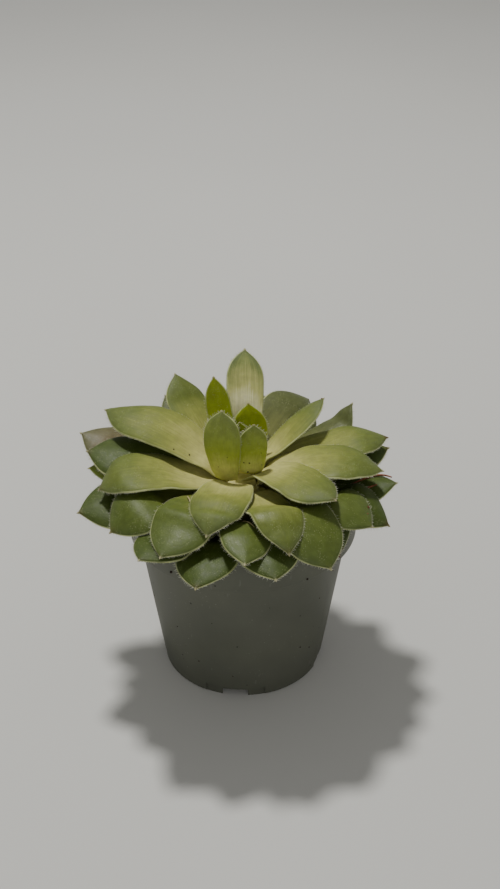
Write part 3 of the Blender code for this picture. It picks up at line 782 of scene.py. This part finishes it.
def wavy(points, size, seed):
    """Smooth irregular values from -1 to 1 over points, from a sum of tilted waves."""
    draw = np.random.default_rng(seed)
    total = np.zeros(len(points))
    for level, weight in ((1.0, 0.55), (2.1, 0.30), (4.3, 0.15)):
        for _ in range(4):
            way = draw.normal(size=3)
            way *= level * 2 * np.pi / size / np.linalg.norm(way)
            total += weight * 0.5 * np.sin(points @ way + draw.uniform(0, 2 * np.pi))
    return total


def soil_level(x, y):
    reach = np.hypot(x, y)
    return np.interp(reach, (0, 9.5, 14, 20, 24.5, 26.3),
                     (SOIL_MIDDLE, SOIL_MIDDLE + 0.1, SOIL_MIDDLE - 0.2,
                      SOIL_EDGE + 0.2, SOIL_EDGE, SOIL_EDGE - 0.3))


def build_soil(material):
    """The root ball, with a lumpy top."""
    edge = RIM_RADIUS - RIM_WALL - GAP
    reaches = np.linspace(6.7, edge, SOIL_RINGS)
    angles = np.linspace(0, 2 * np.pi, SOIL_STEPS, endpoint=False)
    flat = np.stack([reaches[:, None] * np.cos(angles), reaches[:, None] * np.sin(angles),
                     np.zeros((SOIL_RINGS, SOIL_STEPS))], 2).reshape(-1, 3)
    flat[:, 2] = soil_level(flat[:, 0], flat[:, 1])
    flat[:, 2] += SOIL_ROUGHNESS * (0.6 * wavy(flat, 5.0, 11) + 0.5 * wavy(flat, 1.9, 12))
    flat[:, 2] = np.minimum(flat[:, 2], SOIL_MIDDLE + 0.55)
    walls = [
        (edge, BAND_BOTTOM + 2.5),
        (edge - 0.3, BAND_BOTTOM + 1.8),
        (outer_radius(BAND_BOTTOM) - WALL - GAP, BAND_BOTTOM + 0.2),
        (outer_radius(FLOOR_TOP) - WALL - GAP - 0.1, FLOOR_TOP + 1.0),
        (outer_radius(FLOOR_TOP) - WALL - GAP - 0.9, FLOOR_TOP + GAP),
        (DRAIN_REACH, FLOOR_TOP + GAP),
        (4.0, FLOOR_TOP + GAP),
        (0.8, FLOOR_TOP + GAP),
    ]
    well = [(0.8, SOIL_MIDDLE - 6.0), (6.5, SOIL_MIDDLE - 6.0)]
    rings = [flat]
    for radius, height in walls + well:
        rings.append(np.stack([radius * np.cos(angles), radius * np.sin(angles),
                               np.full(SOIL_STEPS, height)], 1))
    points = np.vstack(rings)
    count = SOIL_RINGS + len(walls) + len(well)
    faces = closed_rings(count, SOIL_STEPS, low_cap=False, high_cap=False)
    bottom = SOIL_RINGS + len(walls) - 1
    faces = [face for face in faces if face[0] // SOIL_STEPS != bottom]
    faces.append(tuple(range(bottom * SOIL_STEPS, (bottom + 1) * SOIL_STEPS)))
    faces.append(tuple(range((bottom + 1) * SOIL_STEPS, (bottom + 2) * SOIL_STEPS)))
    last = (count - 1) * SOIL_STEPS
    for q in range(SOIL_STEPS):
        faces.append((last + q, last + (q + 1) % SOIL_STEPS, (q + 1) % SOIL_STEPS, q))
    soil = mesh_object("root_ball", points, faces, material)
    face_outwards(soil)
    return stand_for(soil, "potting_soil", "soil")


def ball_points():
    bm = bmesh.new()
    bmesh.ops.create_icosphere(bm, subdivisions=2, radius=1.0)
    points = np.array([v.co for v in bm.verts])
    faces = [tuple(v.index for v in face.verts) for face in bm.faces]
    bm.free()
    return points, faces


BALL_POINTS, BALL_FACES = ball_points()


def lump(centre, size, seed, squash=0.7):
    """An irregular grain, as points for BALL_FACES."""
    draw = np.random.default_rng(seed)
    shape = BALL_POINTS * (1 + 0.35 * wavy(BALL_POINTS, 1.9, seed))[:, None]
    shape = shape * (size * np.array([1.0, draw.uniform(0.6, 0.95), squash]))
    return rotated(shape, draw.uniform(0, 360)) + np.asarray(centre)


def joined_lumps(name, lumps, material):
    points = np.vstack(lumps)
    faces = []
    for k in range(len(lumps)):
        base = k * len(BALL_POINTS)
        faces += [tuple(base + v for v in face) for face in BALL_FACES]
    return mesh_object(name, points, faces, material)


def scatter_on_soil(name, count, sizes, material, seed):
    draw = np.random.default_rng(seed)
    lumps = []
    for k in range(count):
        reach = math.sqrt(draw.uniform(7.6 ** 2, 25.3 ** 2))
        turn = draw.uniform(0, 2 * math.pi)
        size = draw.uniform(*sizes)
        x, y = reach * math.cos(turn), reach * math.sin(turn)
        lumps.append(lump((x, y, float(soil_level(x, y)) + 0.15 + size * 0.35), size, seed * 1000 + k))
    return stand_for(joined_lumps(name, lumps, material), "potting_soil")


# ---------------------------------------------------------------- leaf places

def stem_radius(height):
    return float(np.interp(height, STEM_LEVELS, STEM_RADII))


def width_share(leaf, along, base_share=BASE_WIDTH_SHARE):
    """Half-width profile: narrow base, widest past the middle, round shoulders and a point."""
    widest = WIDEST_AT.get(leaf[0], WIDEST)
    rise = np.sin(np.pi / 2 * np.clip(along / widest, 0, 1)) ** 1.05
    rise = base_share + (1 - base_share) * rise
    past = np.clip((along - widest) / (1 - widest), 0, 1)
    return np.where(along < widest, rise, (1 - past ** BLUNTNESS[0]) ** BLUNTNESS[1])


def thick_share(along):
    rise = 0.42 + 0.58 * np.clip(along / 0.6, 0, 1) ** 1.3
    past = np.clip((along - 0.6) / 0.4, 0, 1)
    return rise * (1 - past ** 2.4) ** 0.7


def leaf_thickness(width):
    return 0.5 + 0.075 * width


def cup(leaf, along):
    """How far the margins rise above the midline, as a share of the half width."""
    at_base, change = INNER_CUP if "inner" in leaf[0] else CUP
    return at_base + change * along


def spine(leaf):
    """Points, side directions and face normals down the leaf's midline."""
    name, azimuth, base, length, _, pitch_base, pitch_tip = leaf
    reach = BASE_REACH.get(name, stem_radius(base) + LEAF_REACH_CLEAR)
    along = np.linspace(0, 1, SPINE_STEPS + 1)
    pitch = np.radians(pitch_base + (pitch_tip - pitch_base) * along)
    yaw = math.radians(azimuth)
    level = np.cos(pitch)
    ahead = np.stack([level * math.cos(yaw), level * math.sin(yaw), np.sin(pitch)], 1)
    side = np.tile([-math.sin(yaw), math.cos(yaw), 0.0], (SPINE_STEPS + 1, 1))
    normal = np.cross(ahead, side)
    roll = math.radians(ROLL.get(name, 0))
    side, normal = (side * math.cos(roll) + normal * math.sin(roll),
                    normal * math.cos(roll) - side * math.sin(roll))
    start = np.array([reach * math.cos(yaw), reach * math.sin(yaw), base])
    steps = (ahead[1:] + ahead[:-1]) / 2 * (length / SPINE_STEPS)
    points = np.vstack([start, start + np.cumsum(steps, 0)])
    return along, points, side, normal


def curve_through(values, along):
    """A smooth curve through values evenly spaced along a leaf."""
    last = len(values) - 1
    padded = np.concatenate([[2 * values[0] - values[1]], values, [2 * values[-1] - values[-2]]])
    cell = np.clip((along * last).astype(int), 0, last - 1)
    t = along * last - cell
    a, b, c, d = (padded[cell + k] for k in range(4))
    return b + 0.5 * t * (c - a + t * (2 * a - 5 * b + 4 * c - d + t * (3 * (b - c) + d - a)))


def blade(leaf, lift, along, across, share=width_share):
    """Mid-surface points, normals and half thicknesses on a grid of the blade."""
    known, points, side, normal = spine(leaf)

    def at(values):
        return np.stack([np.interp(along, known, values[:, k]) for k in range(3)], 1)

    centre, side, normal = at(points), at(side), at(normal)
    raised = curve_through(lift, along)
    half = leaf[4] / 2 * share(leaf, along)
    grid = (centre + normal * raised[:, None])[:, None]
    grid = grid + side[:, None] * (across[None, :, None] * half[:, None, None])
    bowl = (cup(leaf, along) * half)[:, None, None] * (across ** 2)[None, :, None]
    grid = grid + normal[:, None] * bowl
    body = np.sqrt(np.clip(1 - np.abs(across) ** 2.4, 0, 1))
    thick = leaf_thickness(leaf[4]) / 2 * thick_share(along)[:, None] * body[None] + EDGE_HALF
    slope = 2 * cup(leaf, along)[:, None] * across[None]
    facing = normal[:, None] - side[:, None] * slope[..., None]
    facing = facing / np.linalg.norm(facing, axis=2, keepdims=True)
    return grid, facing, thick


def push_apart(lower, upper, rise, drop):
    """Half of each missing clearance goes to each of two leaves."""
    apart = upper["points"][:, None] - lower["points"][None]
    above = np.einsum("abk,bk->ab", apart, lower["normals"])
    beside = (apart ** 2).sum(2) - above ** 2
    beside = np.where(np.abs(above) < 7.0, beside, 1e9)
    nearest = beside.argmin(1)
    here = np.arange(len(nearest))
    needed = upper["half"] + lower["half"][nearest] + GAP + GAP_SPARE
    short = needed - above[here, nearest]
    close = (beside[here, nearest] < 1.7 ** 2) & (short > 0)
    if not close.any():
        return
    ours, theirs = here[close], nearest[close]
    half = 0.5 * short[close]
    facing = (upper["normals"][ours] * lower["normals"][theirs]).sum(1)
    turn = np.where(np.abs(facing) > 0.25, np.sign(facing), 0.0) * half
    row, low_row = ours // upper["across"], theirs // lower["across"]
    np.maximum.at(rise[upper["index"]], row, np.maximum(turn, 0))
    np.minimum.at(drop[upper["index"]], row, np.minimum(turn, 0))
    np.minimum.at(drop[lower["index"]], low_row, -half)


def settle_leaves():
    """Lift of every leaf along its length so that stacked leaves rest clear of each other."""
    along = np.linspace(0.0, 0.985, LIFT_STATIONS + 1)
    across = np.linspace(-1, 1, 7)
    count = len(LEAVES)
    lift = np.zeros((count, LIFT_STATIONS + 1))
    powers = np.vander(np.linspace(0, 1, LIFT_STATIONS + 1), BEND_ORDER + 1)
    smooth = powers @ np.linalg.pinv(powers)
    for turn in range(SETTLE_ROUNDS + FITTING_ROUNDS):
        rise = np.zeros_like(lift)
        drop = np.zeros_like(lift)
        grids = []
        for index, leaf in enumerate(LEAVES):
            grid, facing, thick = blade(leaf, lift[index], along, across)
            points = grid.reshape(-1, 3)
            grids.append({
                "index": index, "points": points, "normals": facing.reshape(-1, 3),
                "half": thick.reshape(-1), "grid": grid, "thick": thick,
                "across": len(across), "low": points.min(0) - 3, "high": points.max(0) + 3,
            })
        for i, lower in enumerate(grids):
            for upper in grids[i + 1:]:
                if (lower["low"] > upper["high"]).any() or (upper["low"] > lower["high"]).any():
                    continue
                push_apart(lower, upper, rise, drop)
        move = rise + drop
        for index, entry in enumerate(grids):
            reach = np.hypot(entry["grid"][..., 0], entry["grid"][..., 1])
            over_rim = np.where(reach < 28.8, POT_HEIGHT + 0.5, -9.0)
            ground = np.where(reach < 25.4, SOIL_MIDDLE + 0.9, over_rim)
            lack = (ground + entry["thick"] - entry["grid"][..., 2]).max(1)
            move[index] = np.where(lack > 0, np.maximum(move[index], lack), move[index])
        lift = lift + 0.8 * move
        if turn < SETTLE_ROUNDS:
            lift = lift @ smooth
            continue
        eased = lift.copy()
        eased[:, 1:-1] = 0.25 * lift[:, :-2] + 0.5 * lift[:, 1:-1] + 0.25 * lift[:, 2:]
        eased[:, -1] = 2 * eased[:, -2] - eased[:, -3]
        ease = 0.25 * (SETTLE_ROUNDS + FITTING_ROUNDS - 1 - turn) / FITTING_ROUNDS
        lift = (1 - ease) * lift + ease * eased
    return lift


# ---------------------------------------------------------------- leaves

def rise_from(value, low, high):
    share = np.clip((value - low) / (high - low), 0, 1)
    return share * share * (3 - 2 * share)


def drawn_out(leaf, along):
    """The CAD's width profile with a clasping base and a fine point."""
    clasp = INNER_CLASP if "inner" in leaf[0] else CLASP
    blunt = width_share(leaf, np.clip(along / BLADE_END, 0, 1), clasp)
    point = TIP_HALF_WIDTH / leaf[4] * np.clip((1 - along) / (1 - BLADE_END), 0, 1) ** 0.7
    return np.where(along < 0.9, blunt, np.maximum(blunt, point))


def leaf_grid(leaf, lift, index):
    """Upper and lower surface points of a leaf on its (along, across) grid."""
    turn = np.linspace(0, 1, STATIONS)
    along = np.sort(np.concatenate([0.93 * turn, np.linspace(0.945, 1.0, 9)]))
    across = np.sin(np.linspace(-np.pi / 2, np.pi / 2, ACROSS))
    grid, facing, thick = blade(leaf, lift, along, across, drawn_out)
    s, u = along[:, None], across[None]
    width = leaf[4]
    flat = np.stack([np.broadcast_to(s * leaf[3], thick.shape), np.broadcast_to(u * width / 2, thick.shape),
                     np.full(thick.shape, 9.0 * index)], 2).reshape(-1, 3)
    ripple = wavy(flat, 16.0, 500 + index).reshape(thick.shape)
    dents = wavy(flat, 7.0, 900 + index).reshape(thick.shape)
    alive = rise_from(s, 0.02, 0.25) * (1 - rise_from(s, 0.9, 0.97))
    middle = 1 - np.abs(u) ** 3
    grid = grid + facing * (MARGIN_WAVE * ripple * np.abs(u) ** 3 * alive)[..., None]
    if leaf[0] in FOLDS:
        at, drop = FOLDS[leaf[0]]
        beyond = np.maximum(np.abs(u) - abs(at), 0) * (np.sign(u) == np.sign(at))
        grid = grid - facing * (width / 2 * drop * beyond * alive)[..., None]
    ridge = np.exp(-(u / 0.32) ** 2) * rise_from(s, 0.35, 0.75) * (1 - rise_from(s, 0.88, 0.98))
    full = (1 - u ** 2) * rise_from(s, 0.30, 0.62) * (1 - rise_from(s, 0.80, 1.0)) * min(1.0, width / 12)
    top = thick + (PILLOW * full + RIDGE * ridge * min(1.0, width / 12) + DENTS * dents * alive * middle)
    keel = np.exp(-(u / 0.28) ** 2) * rise_from(s, 0.3, 0.7) * (1 - rise_from(s, 0.9, 1.0))
    bottom = thick + KEEL * keel * 0.6 + 0.5 * DENTS * ripple * alive * middle
    end = np.clip((1 - s) / (1 - BLADE_END), 0, 1)
    cap = np.where(s > BLADE_END - 0.01, 0.25 + 0.75 * end, 1.0)
    top, bottom = top * cap, bottom * cap
    return along, across, grid, facing, top, bottom


def outward(grid):
    """Unit directions from the leaf's inside past its margins, for both margins."""
    left = grid[:, 0] - grid[:, 1]
    right = grid[:, -1] - grid[:, -2]
    return tuple(way / np.maximum(np.linalg.norm(way, axis=1, keepdims=True), 1e-9)
                 for way in (left, right))


def build_leaf(leaf, lift, index, materials):
    along, across, grid, facing, top, bottom = leaf_grid(leaf, lift, index)
    upper = grid + facing * top[..., None]
    lower = grid - facing * bottom[..., None]
    left, right = outward(grid)
    nose = np.minimum(EDGE_HALF * 1.2, 0.5 * leaf[4] / 2 * drawn_out(leaf, along))[:, None]
    ring = [grid[:, :1] + (left * nose)[:, None], upper,
            grid[:, -1:] + (right * nose)[:, None], lower[:, ::-1]]
    rings = np.concatenate(ring, 1)
    size = rings.shape[1]
    tip = rings[-1].mean(0) + (rings[-1].mean(0) - rings[-2].mean(0)) * 0.5
    points = np.vstack([rings.reshape(-1, 3), tip])
    faces = closed_rings(len(along), size, high_cap=False)
    last = (len(along) - 1) * size
    faces += [(last + q, len(points) - 1, last + (q + 1) % size) for q in range(size)]
    row_across = np.concatenate([[-1], across, [1], across[::-1]])
    row_face = np.concatenate([[0], np.ones(ACROSS), [0], -np.ones(ACROSS)])
    attributes = {
        "along": np.append(np.repeat(along, size), 1.0),
        "across": np.append(np.tile(row_across, len(along)), 0.0),
        "face": np.append(np.tile(row_face, len(along)), 0.0),
        "seed": np.full(len(points), 3.7 * index),
        "brown": np.full(len(points), TIP_BROWN.get(leaf[0], 0.12 if index % 3 else 0.3)),
    }
    tier = leaf[0].split("_")[1]
    look = LEAF_LOOK.get(leaf[0], TIER_LOOK[tier])
    made = mesh_object(leaf[0].replace("leaf", "blade"), points, faces, materials[look], attributes)
    face_outwards(made)
    return stand_for(made, f"{tier}_leaf", leaf[0])


def closed_heart(leaf, lift):
    """The upper leaves swell towards the foot of the heart, and their ends tuck in under it."""
    along = np.linspace(0, 1, len(lift))
    swell = np.sin(math.pi * np.clip(along / HEART_RISE_END, 0, 1))
    tuck = 1 - rise_from(along, 0.0, HEART_TUCK_END)
    return lift + HEART_RISE.get(leaf[0], 0.0) * (swell - tuck)


def build_hairs(leaf, lift, index, material):
    """Short pale hairs along both margins, longer towards the tip."""
    draw = np.random.default_rng(3000 + index)
    along, _, grid, facing, _, _ = leaf_grid(leaf, lift, index)
    ways = outward(grid)
    points, faces = [], []
    for column, way in ((0, ways[0]), (-1, ways[1])):
        edge = grid[:, column]
        run = np.concatenate([[0], np.cumsum(np.linalg.norm(np.diff(edge, axis=0), axis=1))])
        place = draw.uniform(0.2, 1.0)
        while place < run[-1] - 0.4:
            share = float(np.interp(place, run, along))
            at = [np.array([np.interp(place, run, field[:, k]) for k in range(3)])
                  for field in (edge, way, facing[:, column])]
            ahead = np.array([np.interp(place + 0.3, run, edge[:, k]) for k in range(3)]) - at[0]
            ahead /= max(np.linalg.norm(ahead), 1e-9)
            grown = 0.35 + 0.65 * rise_from(share, 0.2, 0.85)
            length = HAIR_LENGTH * grown * draw.uniform(0.6, 1.2)
            lean = at[1] + ahead * draw.uniform(0.2, 0.9) + at[2] * draw.uniform(-0.25, 0.45)
            lean /= np.linalg.norm(lean)
            cross = np.cross(lean, at[2])
            cross /= np.linalg.norm(cross)
            other = np.cross(lean, cross)
            base = len(points)
            root = at[0] + at[1] * (EDGE_HALF * 0.4)
            for k in range(3):
                turn = 2 * math.pi * k / 3
                points.append(root + HAIR_RADIUS * (cross * math.cos(turn) + other * math.sin(turn)))
            points.append(root + lean * length)
            faces += [(base, base + 1, base + 3), (base + 1, base + 2, base + 3),
                      (base + 2, base, base + 3), (base, base + 2, base + 1)]
            place += HAIR_SPACING * draw.uniform(0.6, 1.5) * (1.5 - 0.5 * grown)
    made = mesh_object(leaf[0].replace("leaf", "hairs"), np.array(points), faces, material)
    tier = leaf[0].split("_")[1]
    return stand_for(made, f"{tier}_leaf")


# ---------------------------------------------------------------- litter

def leaf_index(name):
    return [leaf[0] for leaf in LEAVES].index(name)


def on_leaf(name, lifts, along, across, above=0.0):
    """A point on a leaf's upper face, and the way the face looks there."""
    index = leaf_index(name)
    grid, facing, thick = blade(LEAVES[index], lifts[index], np.array([along]), np.array([across]))
    return grid[0, 0] + facing[0, 0] * (thick[0, 0] + above), facing[0, 0]


def tube(name, path, radii, material, sides=8):
    """A closed round tube through points, with its own radius at each."""
    path = np.asarray(path, float)
    ahead = np.gradient(path, axis=0)
    ahead /= np.linalg.norm(ahead, axis=1, keepdims=True)
    side = np.cross(ahead, [0.13, 0.21, 0.97])
    side /= np.linalg.norm(side, axis=1, keepdims=True)
    other = np.cross(ahead, side)
    turns = np.linspace(0, 2 * np.pi, sides, endpoint=False)
    ring = side[:, None] * np.cos(turns)[None, :, None] + other[:, None] * np.sin(turns)[None, :, None]
    points = path[:, None] + ring * np.asarray(radii)[:, None, None]
    made = mesh_object(name, points.reshape(-1, 3), closed_rings(len(path), sides), material)
    face_outwards(made)
    return made


def build_needle(needle, lifts, material, radius, clear, slot, node=None):
    name, host, start, end, arch = needle
    count = 24
    path = []
    for share in np.linspace(0, 1, count):
        along = start[0] + (end[0] - start[0]) * share
        across = start[1] + (end[1] - start[1]) * share
        path.append(on_leaf(host, lifts, along, across,
                            radius + clear + arch * math.sin(math.pi * share))[0])
    shares = np.linspace(0, 1, count)
    radii = radius * (0.35 + 0.65 * np.sin(np.pi * np.clip(shares, 0.03, 0.97)) ** 0.35)
    made = tube(name.replace("pine_needle", "fallen_needle"), path, radii, material)
    return stand_for(made, slot, *((node,) if node else ()))


def build_specks(name, specks, lifts, material, slot):
    """Grains half sunk into leaf surfaces."""
    lumps = []
    for index, (host, along, across, size) in enumerate(specks):
        top, facing = on_leaf(host, lifts, along, across)
        if host in ("leaf_inner_03", "leaf_inner_04"):
            thick = blade(LEAVES[leaf_index(host)], lifts[leaf_index(host)],
                          np.array([along]), np.array([across]))[2][0, 0]
            top, facing = top - facing * 2 * thick, -facing
        lumps.append(lump(top + facing * size * 0.25, size, 5100 + index, 0.8))
    return stand_for(joined_lumps(name, lumps, material), slot)


def build_pot_specks(material):
    lumps = []
    for index, (azimuth, height, size) in enumerate(POT_SPECKS):
        radius = outer_radius(height) if height < BAND_BOTTOM - 0.5 else BAND_RADIUS
        turn = math.radians(azimuth)
        place = (radius * math.cos(turn), radius * math.sin(turn), height)
        lumps.append(lump(place, size, 5300 + index, 0.8))
    return stand_for(joined_lumps("pot_specks", lumps, material), "potting_soil")


def build_heart_scale(material):
    """A dry brown bud scale lying at the foot of the heart."""
    path = [(-5.6, -2.4, 53.1), (-4.6, -2.9, 53.3), (-3.6, -3.3, 53.2), (-2.7, -3.5, 52.9)]
    made = tube("heart_scale", path, (0.15, 0.42, 0.38, 0.12), material)
    return stand_for(made, "plant_stem")


# ---------------------------------------------------------------- stage

def build_stage(material):
    half = FLOOR_HALF
    mesh = bpy.data.meshes.new("studio_floor")
    corners = ((-half, -half), (half, -half), (half, half), (-half, half))
    mesh.from_pydata([(x, y, FLOOR_DROP) for x, y in corners], [], [(0, 1, 2, 3)])
    mesh.materials.append(material)
    floor = bpy.data.objects.new("studio_floor", mesh)
    bpy.context.scene.collection.objects.link(floor)


def area_light(name, place, aim, size, power, colour):
    lamp = bpy.data.lights.new(name, "AREA")
    lamp.shape = "DISK"
    lamp.size = size
    lamp.energy = power
    lamp.color = colour
    made = bpy.data.objects.new(name, lamp)
    bpy.context.scene.collection.objects.link(made)
    made.location = place
    way = np.asarray(aim, float) - np.asarray(place, float)
    flat = math.hypot(way[0], way[1])
    made.rotation_euler = (math.atan2(flat, -way[2]), 0, math.atan2(way[1], way[0]) - math.pi / 2)
    return made


def build_light():
    aim = (AXIS[0], AXIS[1], AIM_HEIGHT)
    area_light("key", KEY_PLACE, aim, 0.09, 5.0, (1.0, 0.985, 0.94))
    area_light("fill", FILL_PLACE, aim, 0.4, 0.95, (1.0, 0.99, 0.96))
    world = bpy.data.worlds.new("studio")
    bpy.context.scene.world = world
    world.use_nodes = True
    back = world.node_tree.nodes["Background"]
    back.inputs["Color"].default_value = (1.0, 0.99, 0.95, 1)
    back.inputs["Strength"].default_value = 0.26


def build_camera():
    camera = bpy.data.cameras.new("camera")
    camera.sensor_width = CAMERA_SENSOR
    camera.lens = CAMERA_LENS
    camera.clip_start = 0.01
    made = bpy.data.objects.new("camera", camera)
    bpy.context.scene.collection.objects.link(made)
    made.location = (AXIS[0] + CAMERA_OFFSET[0], AXIS[1] + CAMERA_OFFSET[1], CAMERA_HEIGHT)
    made.rotation_euler = (math.radians(CAMERA_TURN), 0, 0)
    bpy.context.scene.camera = made


def main():
    build_pot(pot_material())
    soil = soil_material()
    build_soil(soil)
    scatter_on_soil("soil_crumbs", CRUMB_COUNT, (0.3, 0.75), soil, 21)
    scatter_on_soil("soil_grit", GRIT_COUNT, (0.35, 0.7), grit_material(), 22)
    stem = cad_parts["stem"]
    stem.data.materials.clear()
    stem.data.materials.append(stem_material())

    lifts = [closed_heart(leaf, lift) for leaf, lift in zip(LEAVES, settle_leaves())]
    materials = {name: leaf_material(f"leaf_{name}", look) for name, look in LOOKS.items()}
    hair = hair_material()
    for index, (leaf, lift) in enumerate(zip(LEAVES, lifts)):
        build_leaf(leaf, lift, index, materials)
        build_hairs(leaf, lift, index, hair)
    needle = dry_material("dry_pine_needle", (0.16, 0.035, 0.012), (0.34, 0.10, 0.035), 1200)
    for row in NEEDLES:
        build_needle(row, lifts, needle, NEEDLE_RADIUS, 0.25, "pine_needle", row[0])
    straw = dry_material("dry_straw", (0.42, 0.33, 0.14), (0.72, 0.62, 0.34), 900)
    for row in STRAWS:
        build_needle(row, lifts, straw, STRAW_RADIUS, 0.30, "pine_needle")
    build_specks("leaf_specks", LEAF_SPECKS, lifts, soil, "potting_soil")
    scale = dry_material("dry_scale", (0.10, 0.03, 0.012), (0.26, 0.09, 0.035), 700)
    build_specks("brown_marks", BROWN_SPECKS, lifts, scale, "outer_leaf")
    build_heart_scale(scale)
    build_pot_specks(soil)
    build_stage(floor_material())
    build_light()
    build_camera()


main()
